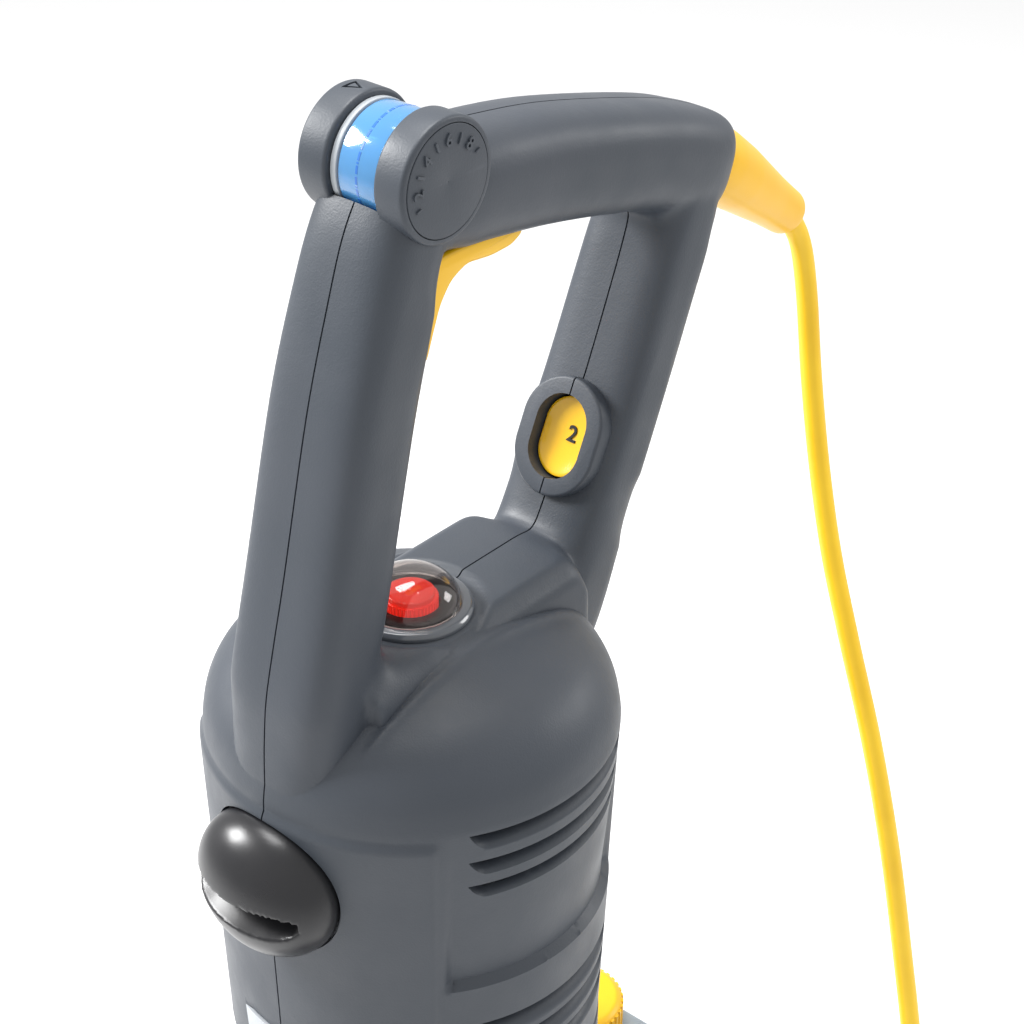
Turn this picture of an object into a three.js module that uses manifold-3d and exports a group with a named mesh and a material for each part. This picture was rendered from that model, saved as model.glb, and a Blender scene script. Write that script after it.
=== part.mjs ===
// Upright carpet cleaner machine: a clamshell column with a loop handle, a tilting fork and a
// brush deck. Millimetres, +Z up. The origin is on the floor under the middle of the machine,
// -Y is the front and +Y is the user's side. The column stands upright on its stop.
import * as THREE from "three";
import { mergeVertices } from "three/addons/utils/BufferGeometryUtils.js";
import Module from "manifold-3d";

const wasm = await Module();
wasm.setup();

// ---------- driving dimensions ----------
const GAP = 0.3; // between pieces that touch
const WALL = 3; // moulded shells
const RUN = 0.3; // radial clearance of a turning fit
const SEAT = 0.15; // radial room of a pressed pulley

// Brush deck, from the floor up and from the middle out.
const DECK = { halfX: 212, bottom: 26, headroom: 7, hoodRise: 25, coverW: 36 };
const BRUSH = { r: 48, coreR: 20, shaftR: 6, between: 28, endRoom: 4 };
const BRUSH_Y = BRUSH.r + BRUSH.between / 2;
const BRUSH_FRONT = BRUSH_Y + BRUSH.r; // reach of the bristles before and behind the middle
const FRAME_Z = 2 * BRUSH.r + DECK.headroom; // top of the chassis
const HOOD_Z = FRAME_Z + DECK.hoodRise;
const HOOD_FRONT = -BRUSH_FRONT - 62;
const HOOD_REAR = BRUSH_FRONT + 15;
const PLATE = { x: DECK.halfX - DECK.coverW, t: 5 }; // side plates of the chassis
const BRUSH_X = PLATE.x - BRUSH.endRoom;
const WHEEL = { y: BRUSH_FRONT + 40, r: 30, x: PLATE.x + 10, w: 22, axleR: 5 };
const BUMPER = { depth: 8, z: 70, h: 26 };
const SPRAY = { y: -BRUSH_FRONT - 36, z: 70, r: 6, halfX: 120 };
const NOZZLES = [-75, 75];
const PEDAL = { x: -110, y: HOOD_REAR - 17, z: HOOD_Z + 6, w: 60, length: 62, pinR: 2.5 };

// Motor on the tilt axis, the fork over it and the drive beside it.
const MOTOR = { r: 62, wall: 5, capT: 9, trunnionR: 22, shaftR: 7, footH: 40 };
const AXIS = { y: 42, z: FRAME_Z + MOTOR.footH + MOTOR.r }; // motor shaft and column tilt
const YOKE = { armX: PLATE.x - 30, armT: 12, eyeR: 33, bridgeT: 30, neckH: 104 };
const BRIDGE_Z = AXIS.z + MOTOR.r + 19;
const CASE_X = YOKE.armX - 16;
const TRUNNION_X = YOKE.armX + YOKE.armT + 4;
const DRIVE_IN = PLATE.x + PLATE.t + 3;
const DRIVE = { x0: DRIVE_IN, x1: DRIVE_IN + 14, motorR: 16, brushR: 22, idlerR: 12, beltT: 3 };
const IDLER = { y: -BRUSH_Y - 50, z: 46, pinR: 3 };

// Column. The loop handle stands on its deck at topZ, and the head is placed from that deck.
const BODY = { y: -10, topZ: 972, topR: 82.5, waistR: 76, baseZ: BRIDGE_Z + 32, baseR: 62 };
const BODY_ROUND = 0.985; // depth of the column over its width
const onDeck = (height) => BODY.topZ + height;
const WAIST_Z = onDeck(-188);
const DIAL = { y: -14, z: onDeck(178), bossR: 22, bossX: 23.7, slotX: 10.8, wheelR: 19.6, axleR: 3 };
const HANDLE = { halfX: 22.5, edge: 9 }; // loop handle: half width and edge rounding
const WINDOW = { z: onDeck(32.5), halfW: 12, halfL: 17, rim: 7, proud: 5 }; // rocker window
const DOME = { y: -10, ringR: 24, glassR: 19, height: 12.5, buttonR: 10.5 };
const TRIGGER = { y: -12, z: onDeck(128), halfX: 10.5, pinR: 2.5, pinX: 21 };
const HOOK = { z: onDeck(-86), halfX: 33, depth: 25, halfZ: 31, slotDrop: 17, slotH: 8, pegX: 9 };
const LOUVRES = [-49, -62, -74, -146, -158, -170].map(onDeck);
const SCREWS = [[-60.5, onDeck(58)], [60, onDeck(154)]]; // [y, z] in the front leg and the grip
const BADGE = { z: onDeck(-175), halfX: 26, halfZ: 12 };
const FAN = { z: onDeck(-86), r: 48, h: 18, motorR: 32, motorH: 60 };
const BOARD = { z: onDeck(-302), halfX: 44, halfZ: 70 };
const PUMP = { z: 430, r: 26, h: 70 };

// Tank on the back of the column.
const TANK = { bottom: 480, top: onDeck(-290), halfX: 84, rear: 118, front: 14, wall: 3 };
const NECK = { y: 94.5, r: 20, h: 9 };

// Cord, its coil on the floor and the strain relief that follows the grip's end.
const CORD = { r: 4.75, sides: 8 };
const COIL = { x: 36, y: 322, r: 74.5, width: 45, height: 48.5 };
const PLUG = { r: 18, front: 292, rear: 330, stemR: 7, stemEnd: 346, pinR: 2.4, pinTip: 273 };
const RELIEF = { length: 58, r0: 12, r1: 7, start: [0, 176, onDeck(113)], out: [0, 48, -35.5] };

// The cord's route, chosen by hand: out of the grip, down behind the machine, to the floor.
const CORD_ROUTE = [
  [0, 224, 1049.5], [1, 234.5, 1033], [4, 238.5, 1008], [11, 237, 970], [21, 234, 930],
  [33, 231.5, 890], [48, 229.5, 850], [66, 229, 800], [82, 229, 745], [95, 229, 690],
  [106, 229, 640], [114, 229.5, 590], [119, 230, 535], [123, 230.5, 475], [126, 231, 415],
  [128, 231.5, 355], [129, 232, 295], [130, 232, 235], [130, 232, 180], [129.6, 232.4, 130],
  [129.2, 235, 88], [128.8, 243, 50], [128.4, 255, 26], [128, 272, 11],
];
const CORD_SPLIT = 11; // the route point where the hanging half hands over to the lying half

// ---------- helpers ----------
const V = (x, y, z) => new THREE.Vector3(x, y, z);
const FACE_X = new THREE.Matrix4().makeBasis(V(0, 1, 0), V(0, 0, 1), V(1, 0, 0));

// A closed geometry as a solid that can be joined and cut.
function solid(geometry) {
  const bare = geometry.index ? geometry.toNonIndexed() : geometry.clone();
  bare.deleteAttribute("normal");
  bare.deleteAttribute("uv");
  const merged = mergeVertices(bare, 1e-4);
  return new wasm.Manifold(new wasm.Mesh({
    numProp: 3,
    vertProperties: merged.attributes.position.array,
    triVerts: new Uint32Array(merged.index.array),
  }));
}
const join = (first, ...others) => others.reduce((all, next) => all.add(next), first);
const cut = (first, ...others) => others.reduce((all, next) => all.subtract(next), first);

function geometryOf(shape) {
  const { vertProperties, triVerts, numProp } = shape.getMesh();
  const geometry = new THREE.BufferGeometry();
  const corners = new Float32Array((vertProperties.length / numProp) * 3);
  for (let i = 0; i < corners.length / 3; i++)
    for (let axis = 0; axis < 3; axis++) corners[3 * i + axis] = vertProperties[numProp * i + axis];
  geometry.setAttribute("position", new THREE.BufferAttribute(corners, 3));
  geometry.setIndex(new THREE.BufferAttribute(new Uint32Array(triVerts), 1));
  return geometry;
}

const box = (x0, x1, y0, y1, z0, z1) =>
  solid(new THREE.BoxGeometry(x1 - x0, y1 - y0, z1 - z0)
    .translate((x0 + x1) / 2, (y0 + y1) / 2, (z0 + z1) / 2));

// Round bars along X and Z, by their ends.
const barX = (r, x0, x1, y, z, sides = 24) =>
  solid(new THREE.CylinderGeometry(r, r, x1 - x0, sides).rotateZ(Math.PI / 2)
    .translate((x0 + x1) / 2, y, z));
const barZ = (r, z0, z1, x, y, sides = 24) =>
  solid(new THREE.CylinderGeometry(r, r, z1 - z0, sides).rotateX(Math.PI / 2)
    .translate(x, y, (z0 + z1) / 2));

// A turned piece from [radius, height] pairs; heights run along the named axis.
function turned(profile, axis = "z", at = [0, 0, 0], sides = 24) {
  let area = 0;
  profile.forEach(([r, h], i) => {
    const [r2, h2] = profile[(i + 1) % profile.length];
    area += r * h2 - r2 * h;
  });
  const points = profile.map(([r, h]) => new THREE.Vector2(r, h));
  if (area < 0) points.reverse();
  if (profile.every(([r]) => r > 0)) points.push(points[0].clone());
  const geometry = new THREE.LatheGeometry(points, sides);
  if (axis === "z") geometry.rotateX(Math.PI / 2);
  if (axis === "x") geometry.rotateZ(-Math.PI / 2);
  return solid(geometry.translate(...at));
}

// A plan or side outline given a thickness; side outlines are [y, z] pairs extruded along X.
function outline(points, holes = []) {
  const shape = new THREE.Shape(points.map(([a, b]) => new THREE.Vector2(a, b)));
  holes.forEach((hole) => shape.holes.push(new THREE.Path(
    hole.map(([a, b]) => new THREE.Vector2(a, b)))));
  return shape;
}
function extrudeX(shape, x0, x1, bevel = 0, inset = 0) {
  const depth = x1 - x0 - 2 * bevel;
  return solid(new THREE.ExtrudeGeometry(shape, {
    depth, bevelEnabled: bevel > 0 || inset > 0, bevelSize: bevel, bevelThickness: bevel,
    bevelOffset: -bevel - inset, bevelSegments: 2, curveSegments: 4,
  }).translate(0, 0, x0 + bevel).applyMatrix4(FACE_X));
}
function extrudeZ(shape, z0, z1, bevel = 0) {
  return solid(new THREE.ExtrudeGeometry(shape, {
    depth: z1 - z0 - 2 * bevel, bevelEnabled: bevel > 0, bevelSize: bevel,
    bevelThickness: bevel, bevelOffset: -bevel, bevelSegments: 2, curveSegments: 4,
  }).translate(0, 0, z0 + bevel));
}

// A round section swept along a smooth line through the points.
function swept(points, r, sides, steps, tension = 0.5) {
  const path = new THREE.CatmullRomCurve3(points.map((p) => V(...p)), false, "catmullrom", tension);
  const section = new THREE.Shape(
    Array.from({ length: sides }, (_, i) => {
      const turn = (2 * Math.PI * i) / sides;
      return new THREE.Vector2(r * Math.cos(turn), r * Math.sin(turn));
    }));
  return solid(new THREE.ExtrudeGeometry(section, { steps, extrudePath: path, bevelEnabled: false }));
}

const arc = (y, z, r, from, to, steps) => Array.from({ length: steps + 1 }, (_, i) => {
  const turn = THREE.MathUtils.degToRad(from + ((to - from) * i) / steps);
  return [y + r * Math.cos(turn), z + r * Math.sin(turn)];
});

// ---------- finishes ----------
const finish = (color, roughness, metalness = 0, opacity = 1) =>
  new THREE.MeshStandardMaterial({ color, roughness, metalness, opacity, transparent: opacity < 1 });
const CHARCOAL = finish(0x4c525a, 0.62);
const YELLOW = finish(0xf6c217, 0.4);
const BLUE = finish(0x5aa2e0, 0.2, 0, 0.75);
const BLACK = finish(0x19191b, 0.35);
const RED = finish(0xe2382e, 0.3);
const CLEAR = finish(0xd8dde0, 0.05, 0, 0.35);
const STEEL = finish(0xb9bdc1, 0.35, 1);
const CAST = finish(0x8f9499, 0.5, 0.9);
const RUBBER = finish(0x26272a, 0.85);
const PALE = finish(0xc9ced2, 0.45);
const TANK_BLUE = finish(0xbfd0dc, 0.3, 0, 0.6);
const GREEN = finish(0x2c6a3e, 0.6);
const BRISTLE = finish(0x2f4f86, 0.7);

const machine = new THREE.Group();
function add(name, shape, material) {
  const mesh = new THREE.Mesh(geometryOf(shape), material);
  mesh.name = name;
  machine.add(mesh);
}

// ---------- the clamshell ----------
// Half width of the column at a height, on its straight taper.
const columnR = (z) => BODY.topR - ((BODY.topR - BODY.waistR) * (BODY.topZ - z))
  / (BODY.topZ - WAIST_Z);

// The column as a closed shape; an inset one is its hollow and runs out of the open foot.
function column(inset) {
  const shoulder = 28;
  const top = BODY.topZ - inset;
  const foot = BODY.baseZ - (inset ? 6 : 0);
  const r = (z) => columnR(z) - inset;
  const profile = [
    [0, foot], [BODY.baseR - inset, foot], [BODY.baseR + 8 - inset, BODY.baseZ + 42],
    [BODY.waistR - inset, BODY.baseZ + 92], [BODY.waistR - inset, WAIST_Z],
    ...[onDeck(-112), onDeck(-47), top - shoulder].map((z) => [r(z), z]),
    [r(top) - 3, top - 15], [r(top) - 11, top - 5], [r(top) - 24, top - 0.8], [0, top],
  ].map(([radius, z]) => new THREE.Vector2(radius, z));
  return solid(new THREE.LatheGeometry(profile, inset > 0 ? 18 : 28)
    .rotateX(Math.PI / 2).scale(1, BODY_ROUND, 1).translate(0, BODY.y, 0));
}

// Side outlines of the loop handle and of its hole, from the foot of the front leg round to the
// rear leg, as [y, height above the deck].
const fromDeck = ([y, height]) => [y, onDeck(height)];
const HANDLE_OUTLINE = [
  [-84, -72], [-88.5, -42], [-86.2, -17], [-82.2, 4], [-75.1, 38.4], [-61.3, 96.3], [-48.5, 133],
  [-34.6, 170.4], [-28, 180], [-12, 186], [5, 186.6], [22, 183.5], [53, 178], [90, 168.4],
  [122, 158.2], [154.6, 146], [168, 139], [175.5, 130], [177.5, 121], [175.4, 109], [166, 101],
  [150, 99], [140, 90], [118.5, 40.5], [96, -6], [77, -42], [66, -72],
].map(fromDeck).reverse();
const LOOP = [
  [-46, 7], [-41, 26], [-24, 96], [-15, 128], [-5, 140], [10, 143], [79, 130], [105, 122.5],
  [114.5, 116], [116.5, 108], [107, 91.6], [72, 18], [64, 5.5], [52, 0.6], [-36, 0.6],
].map(fromDeck);
const handle = (inset) => extrudeX(outline(HANDLE_OUTLINE, [LOOP]), inset - HANDLE.halfX,
  HANDLE.halfX - inset, HANDLE.edge, inset);

// The rear leg's front face leans back from LEG_FOOT to LEG_TOP, and the rocker window is a
// stadium square to it.
const [LEG_TOP, LEG_FOOT] = LOOP.slice(10, 12);
const LEG_LEAN = Math.atan2(LEG_TOP[0] - LEG_FOOT[0], LEG_TOP[1] - LEG_FOOT[1]);
const WINDOW_Y = LEG_FOOT[0] + (WINDOW.z - LEG_FOOT[1]) * Math.tan(LEG_LEAN);
function stadium(halfW, halfL, from, to) {
  const side = halfL - halfW;
  const shape = outline([...arc(0, side, halfW, 0, 180, 6), ...arc(0, -side, halfW, 180, 360, 6)]);
  return solid(new THREE.ExtrudeGeometry(shape, { depth: to - from, bevelEnabled: false })
    .translate(0, 0, from).rotateX(Math.PI / 2 - LEG_LEAN).translate(0, WINDOW_Y, WINDOW.z));
}

// Curved louvre slots in the cheeks, by height; each is a ring sector cut through the wall.
function louvre(z, side) {
  const r = columnR(z);
  const start = side > 0 ? 0 : 180;
  const sector = [...arc(0, BODY.y, r + 4, start - 28 * side, start + 42 * side, 4),
    ...arc(0, BODY.y, r - WALL - 2, start + 42 * side, start - 28 * side, 4)];
  return extrudeZ(outline(side > 0 ? sector : sector.reverse()), z - 3, z + 3);
}

let shell = cut(join(column(0), handle(0)), join(column(WALL), handle(WALL)));
const domeHole = barZ(DOME.glassR - 1, BODY.topZ - 8, BODY.topZ + 8, 0, DOME.y);
const windowRim = stadium(WINDOW.halfW + WINDOW.rim, WINDOW.halfL + WINDOW.rim, -2, WINDOW.proud);
const windowHole = stadium(WINDOW.halfW, WINDOW.halfL, -9, WINDOW.proud + 1);
const bosses = [-1, 1].map((side) => turned([
  [0, side * (DIAL.slotX)], [DIAL.bossR, side * DIAL.slotX],
  [DIAL.bossR, side * (DIAL.bossX - 1.5)], [DIAL.bossR - 1.5, side * DIAL.bossX],
  [0, side * DIAL.bossX]], "x", [0, DIAL.y, DIAL.z], 28));
const wheelSlot = barX(DIAL.wheelR + 1.3, -DIAL.slotX, DIAL.slotX, DIAL.y, DIAL.z, 24);
const axleBore = barX(DIAL.axleR + RUN, -18.5, 22.5, DIAL.y, DIAL.z);
const discSeat = barX(DIAL.wheelR + RUN, 21.4, 26, DIAL.y, DIAL.z, 24);
const slotX = TRIGGER.halfX + 1;
const triggerSlot = join(box(-slotX, slotX, -34, 12, onDeck(80), onDeck(146)),
  box(-slotX, slotX, 0, 62, onDeck(118), onDeck(148)));
const pinBore = barX(TRIGGER.pinR + RUN, -TRIGGER.pinX - 0.5, TRIGGER.pinX + 0.5, TRIGGER.y,
  TRIGGER.z, 12);
const hookPeg = (grow) => box(-HOOK.pegX - grow, HOOK.pegX + grow, -100, -70,
  HOOK.z - 9 - grow, HOOK.z + 9 + grow);
const badgeSeat = box(-BADGE.halfX - GAP, BADGE.halfX + GAP, -96, -82,
  BADGE.z - BADGE.halfZ - GAP, BADGE.z + BADGE.halfZ + GAP);
const RELIEF_TURN = new THREE.Matrix4().lookAt(V(...RELIEF.out), V(0, 0, 0), V(1, 0, 0))
  .setPosition(...RELIEF.start);
const onRelief = (profile, sides) => {
  const points = profile.map(([r, h]) => new THREE.Vector2(r, h));
  return solid(new THREE.LatheGeometry(points, sides).rotateX(Math.PI / 2)
    .applyMatrix4(RELIEF_TURN));
};
const RELIEF_STEM = RELIEF.r0 - 3;
const reliefBore = onRelief([[0, -24], [RELIEF_STEM + GAP, -24], [RELIEF_STEM + GAP, 24],
  [0, 24]], 20);

// Screw posts: a socket in the left half, a threaded post in the right half.
const screwPosts = SCREWS.map(([y, z]) => join(
  barX(4.5, GAP, HANDLE.halfX - 1, y, z, 10), barX(5.5, -HANDLE.halfX + 1, -GAP, y, z, 10)));
const screwBores = SCREWS.map(([y, z]) => join(
  barX(4, -30, -5, y, z, 10), barX(2.1, -12, 14, y, z, 8)));
const ventCuts = [1, -1].flatMap((side) => LOUVRES.map((z) => louvre(z, side)));

shell = join(shell, windowRim, ...bosses, ...screwPosts);
shell = cut(shell, wheelSlot, axleBore, discSeat, triggerSlot, pinBore, windowHole, domeHole,
  hookPeg(GAP), badgeSeat, reliefBore, ...screwBores, ...ventCuts);
const REACH = 2 * BODY.topZ; // past every piece
[["right", 1], ["left", -1]].forEach(([name, side]) => {
  const inner = (side * GAP) / 2;
  const outer = side * REACH;
  add(`${name}_shell`, shell.intersect(
    box(Math.min(inner, outer), Math.max(inner, outer), -REACH, REACH, 0, REACH)), CHARCOAL);
});
SCREWS.forEach(([y, z], i) => add(`shell_screw_${i + 1}`,
  join(barX(3.5, -9, -5 - GAP, y, z, 10), barX(1.8, -8, 11, y, z, 8)), STEEL));

// ---------- dial, trigger and switches ----------
const ringX = (rIn, rOut, x0, x1, sides = 24) =>
  turned([[rIn, x0], [rOut, x0], [rOut, x1], [rIn, x1]], "x", [0, DIAL.y, DIAL.z], sides);
add("dial_axle", barX(DIAL.axleR, -18, 21.5, DIAL.y, DIAL.z, 16), STEEL);
add("dial_wheel", ringX(DIAL.axleR + GAP, DIAL.wheelR, -7.2, DIAL.slotX - 0.5), BLUE);
add("dial_seal_ring", ringX(DIAL.axleR + 1, DIAL.wheelR, -DIAL.slotX + GAP, -7.2 - GAP), PALE);
add("dial_scale_disc", barX(DIAL.wheelR, 21.5 + GAP, DIAL.bossX, DIAL.y, DIAL.z, 24), CHARCOAL);
const VALVE = { y: -30, z: onDeck(140), r: 7 };
add("flow_valve", join(barX(VALVE.r, -9, 9, VALVE.y, VALVE.z, 16),
  barZ(3, VALVE.z - 16, VALVE.z, 0, VALVE.y, 10)), STEEL);

const TRIGGER_OUTLINE = [
  [-20, 94], [-3, 89], [2, 91], [7.5, 105], [13, 118], [17.5, 124], [24, 126.6], [40, 124.8],
  [50, 126.4], [54, 130], [54, 135], [50, 136.5], [6, 137.5], [-12, 137], [-19, 133], [-23, 120],
].map(fromDeck);
add("trigger", join(extrudeX(outline(TRIGGER_OUTLINE), -TRIGGER.halfX, TRIGGER.halfX, 2),
  barX(TRIGGER.pinR, -TRIGGER.pinX, TRIGGER.pinX, TRIGGER.y, TRIGGER.z, 12)), YELLOW);
add("trigger_switch", box(-7, 7, 28, 46, onDeck(150), onDeck(161)), BLACK);
const SPRING = { y: 12, z: onDeck(139), r: 4, wireR: 0.6, h: 18, turns: 3, steps: 7 };
const springPoints = Array.from({ length: SPRING.turns * SPRING.steps + 1 }, (_, i) => {
  const turn = (2 * Math.PI * i) / SPRING.steps;
  return [SPRING.r * Math.cos(turn), SPRING.y + SPRING.r * Math.sin(turn),
    SPRING.z + (SPRING.h * i) / (SPRING.turns * SPRING.steps)];
});
add("trigger_spring", swept(springPoints, SPRING.wireR, 4, SPRING.turns * SPRING.steps), STEEL);

const ROCKER_ROOM = 0.8; // between the rocker and its window
add("speed_rocker", stadium(WINDOW.halfW - ROCKER_ROOM, WINDOW.halfL - ROCKER_ROOM, -5, -0.5),
  YELLOW);

add("dome_ring", turned([[DOME.glassR - 0.6, 0.6], [DOME.ringR, 0.6], [DOME.ringR - 0.8, 2.6],
  [DOME.glassR + 0.4, 2.6], [DOME.glassR + 0.4, 1.4], [DOME.glassR - 0.6, 1.4]], "z",
[0, DOME.y, BODY.topZ], 20), PALE);
const glassProfile = (r, h, foot, steps) => Array.from({ length: steps + 1 }, (_, i) => {
  const turn = (Math.PI / 2) * (i / steps);
  return [r * Math.cos(turn), foot + h * Math.sin(turn)];
});
add("dome_cover", turned([...glassProfile(DOME.glassR, DOME.height, 1.7, 4),
  ...glassProfile(DOME.glassR - 1.4, DOME.height - 1.4, 1.7, 3).reverse()], "z",
[0, DOME.y, BODY.topZ], 18), CLEAR);
add("power_button", turned([[0, -3], [DOME.buttonR, -3], [DOME.buttonR, 5.2],
  [DOME.buttonR - 1.5, 6.6], [0, 6.6]], "z", [0, DOME.y, BODY.topZ], 24), RED);
add("power_switch_body", turned([[0, -24], [15, -24], [15, -1], [DOME.buttonR + 0.5, -1],
  [DOME.buttonR + 0.5, -6.5], [0, -6.5]], "z", [0, DOME.y, BODY.topZ], 20), BLACK);

// ---------- front of the column ----------
const hookBulb = solid(new THREE.SphereGeometry(1, 16, 10).rotateX(Math.PI / 2)
  .scale(HOOK.halfX, HOOK.depth, HOOK.halfZ)
  .translate(0, BODY.y - columnR(HOOK.z) + 2, HOOK.z));
const hookSlot = box(-HOOK.halfX + 8, HOOK.halfX - 8, -130, BODY.y - columnR(HOOK.z) - 5,
  HOOK.z - HOOK.slotDrop, HOOK.z - HOOK.slotDrop + HOOK.slotH);
add("cord_hook", join(cut(hookBulb, hookSlot, column(-GAP)),
  box(-HOOK.pegX, HOOK.pegX, -92, -82, HOOK.z - 9, HOOK.z + 9)), BLACK);
const outsideColumn = cut(box(-60, 60, -120, -60, BADGE.z - 37, BADGE.z + 43), column(0.2));
add("badge_plate", cut(box(-BADGE.halfX, BADGE.halfX, -96, -84, BADGE.z - BADGE.halfZ,
  BADGE.z + BADGE.halfZ), outsideColumn), PALE);

// ---------- inside the column ----------
add("fan_motor", turned([[0, 0], [FAN.motorR, 0], [FAN.motorR, FAN.motorH], [0, FAN.motorH]],
  "z", [0, BODY.y, FAN.z - FAN.motorH - 6], 20), CAST);
add("fan_wheel", turned([[0, -4], [4, -4], [4, 0], [FAN.r, 0], [FAN.r, FAN.h], [12, FAN.h],
  [10, 4], [0, 4]], "z", [0, BODY.y, FAN.z], 16), BLACK);
add("control_board", box(-BOARD.halfX, BOARD.halfX, BODY.y - 21, BODY.y - 19,
  BOARD.z - BOARD.halfZ, BOARD.z + BOARD.halfZ), GREEN);
add("pump", join(barZ(PUMP.r, PUMP.z, PUMP.z + PUMP.h, 0, BODY.y + 22, 20),
  barX(5, -PUMP.r - 12, 0, BODY.y + 22, PUMP.z + PUMP.h - 10, 10)), BLACK);
const HOSE_ROUTE = [[-50, 6, PUMP.z + PUMP.h], [-60, -4, onDeck(-412)], [-64, -14, onDeck(-272)],
  [-62, -34, onDeck(-172)], [-30, -62, onDeck(-92)], [-4, -74, onDeck(-42)],
  [0, -58, onDeck(18)], [0, -42.5, onDeck(64)], [0, -31, onDeck(118)]];
add("solution_hose", swept(HOSE_ROUTE, 4, 6, 16), PALE);

// ---------- tilting fork ----------
const ARM_OUT = YOKE.armX + YOKE.armT;
const BRIDGE_TOP = BRIDGE_Z + YOKE.bridgeT;
const forkSide = outline([
  ...arc(AXIS.y, AXIS.z, YOKE.eyeR, 180, 360, 8), [AXIS.y + 20, BRIDGE_Z],
  [AXIS.y - 10, BRIDGE_TOP], [BODY.y - 44, BRIDGE_TOP], [BODY.y - 40, BRIDGE_Z]]);
const forkBridge = outline([
  [-ARM_OUT, BRIDGE_Z - 30], [ARM_OUT, BRIDGE_Z - 30], [ARM_OUT, BRIDGE_Z],
  [ARM_OUT - 22, BRIDGE_Z + 22], [70, BRIDGE_TOP], [-70, BRIDGE_TOP],
  [-ARM_OUT + 22, BRIDGE_Z + 22], [-ARM_OUT, BRIDGE_Z]]);
const bridgeSolid = solid(new THREE.ExtrudeGeometry(forkBridge, { depth: 200, bevelEnabled: false })
  .rotateX(Math.PI / 2).translate(0, 150, 0));
const forkBlank = extrudeX(forkSide, -ARM_OUT, ARM_OUT).intersect(join(bridgeSolid,
  box(YOKE.armX, ARM_OUT, -100, 150, 100, BRIDGE_Z),
  box(-ARM_OUT, -YOKE.armX, -100, 150, 100, BRIDGE_Z)));
const motorRoom = barX(MOTOR.r + 8, -YOKE.armX, YOKE.armX, AXIS.y, AXIS.z, 28);
const neckR = BODY.baseR - WALL - 2;
const forkNeck = turned([[neckR - 6, BRIDGE_Z + 20], [neckR, BRIDGE_Z + 20],
  [neckR, BRIDGE_Z + YOKE.neckH], [neckR - 6, BRIDGE_Z + YOKE.neckH]], "z", [0, BODY.y, 0], 28);
add("tilt_fork", cut(join(forkBlank, forkNeck), motorRoom,
  barX(MOTOR.trunnionR + RUN, -ARM_OUT - 1, ARM_OUT + 1, AXIS.y, AXIS.z, 24)), CAST);

// ---------- solution tank ----------
function tankPlan(inset) {
  const x = TANK.halfX - inset;
  const rear = TANK.rear - inset;
  const bend = 42 - inset;
  const recess = BODY.waistR + 2 + inset;
  const front = TANK.front + inset;
  const edge = Math.sqrt(recess ** 2 - (front - BODY.y) ** 2);
  const turn = THREE.MathUtils.radToDeg(Math.atan2(front - BODY.y, edge));
  return outline([[x, front], ...arc(x - bend, rear - bend, bend, 0, 90, 4),
    ...arc(-x + bend, rear - bend, bend, 90, 180, 4), [-x, front],
    ...arc(0, BODY.y, recess, 180 - turn, turn, 10)]);
}
const neckTop = TANK.top + NECK.h;
const tankOuter = join(extrudeZ(tankPlan(0), TANK.bottom, TANK.top, 3),
  barZ(NECK.r, TANK.top - 2, neckTop, 0, NECK.y));
const tankHollow = join(extrudeZ(tankPlan(TANK.wall), TANK.bottom + TANK.wall, TANK.top - TANK.wall),
  barZ(NECK.r - TANK.wall, TANK.top - 8, neckTop + 3, 0, NECK.y));
add("solution_tank", cut(tankOuter, tankHollow), TANK_BLUE);
add("tank_cap", turned([[0, neckTop + GAP], [NECK.r + GAP, neckTop + GAP],
  [NECK.r + GAP, TANK.top + 2], [NECK.r + 4, TANK.top + 2], [NECK.r + 4, neckTop + 6],
  [NECK.r + 2, neckTop + 8], [0, neckTop + 8]], "z", [0, NECK.y, 0]), YELLOW);
add("tank_cradle", cut(extrudeZ(tankPlan(-1), TANK.bottom - 16, TANK.bottom + 14),
  extrudeZ(tankPlan(-1), TANK.bottom - GAP, TANK.bottom + 30), column(-GAP)), BLACK);
const latchRear = NECK.y - NECK.r - 5;
add("tank_latch", cut(box(-14, 14, latchRear - 9.5, latchRear, TANK.top + 6, TANK.top + 40),
  column(-GAP)), BLACK);

// ---------- cord from the grip ----------
add("strain_relief", cut(onRelief([[0, -16], [RELIEF_STEM, -16], [RELIEF_STEM, 4],
  [RELIEF.r0 - 1.5, 4], [RELIEF.r0 - 1.5, 14], [RELIEF.r1, RELIEF.length], [0, RELIEF.length]], 20),
onRelief([[0, RELIEF.length - 6], [CORD.r + GAP, RELIEF.length - 6],
  [CORD.r + GAP, RELIEF.length + 9], [0, RELIEF.length + 9]], 16)), YELLOW);
const hanging = CORD_ROUTE.slice(0, CORD_SPLIT + 1);
const lying = CORD_ROUTE.slice(CORD_SPLIT);
const unit = (from, to) => V(...to).sub(V(...from)).normalize();
const handover = unit(hanging.at(-2), lying[1]);
hanging[hanging.length - 1] = V(...hanging.at(-1)).addScaledVector(handover, -GAP).toArray();
add("power_cord_upper", swept(hanging, CORD.r, CORD.sides, 18), YELLOW);
add("power_cord_lower", swept(lying, CORD.r, CORD.sides, 24), YELLOW);
add("cord_coil", turned([[COIL.r - COIL.width / 2, 0.2], [COIL.r + COIL.width / 2, 0.2],
  [COIL.r + COIL.width / 2, COIL.height], [COIL.r - COIL.width / 2, COIL.height]], "z",
[COIL.x, COIL.y, 0], 32), YELLOW);
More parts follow.
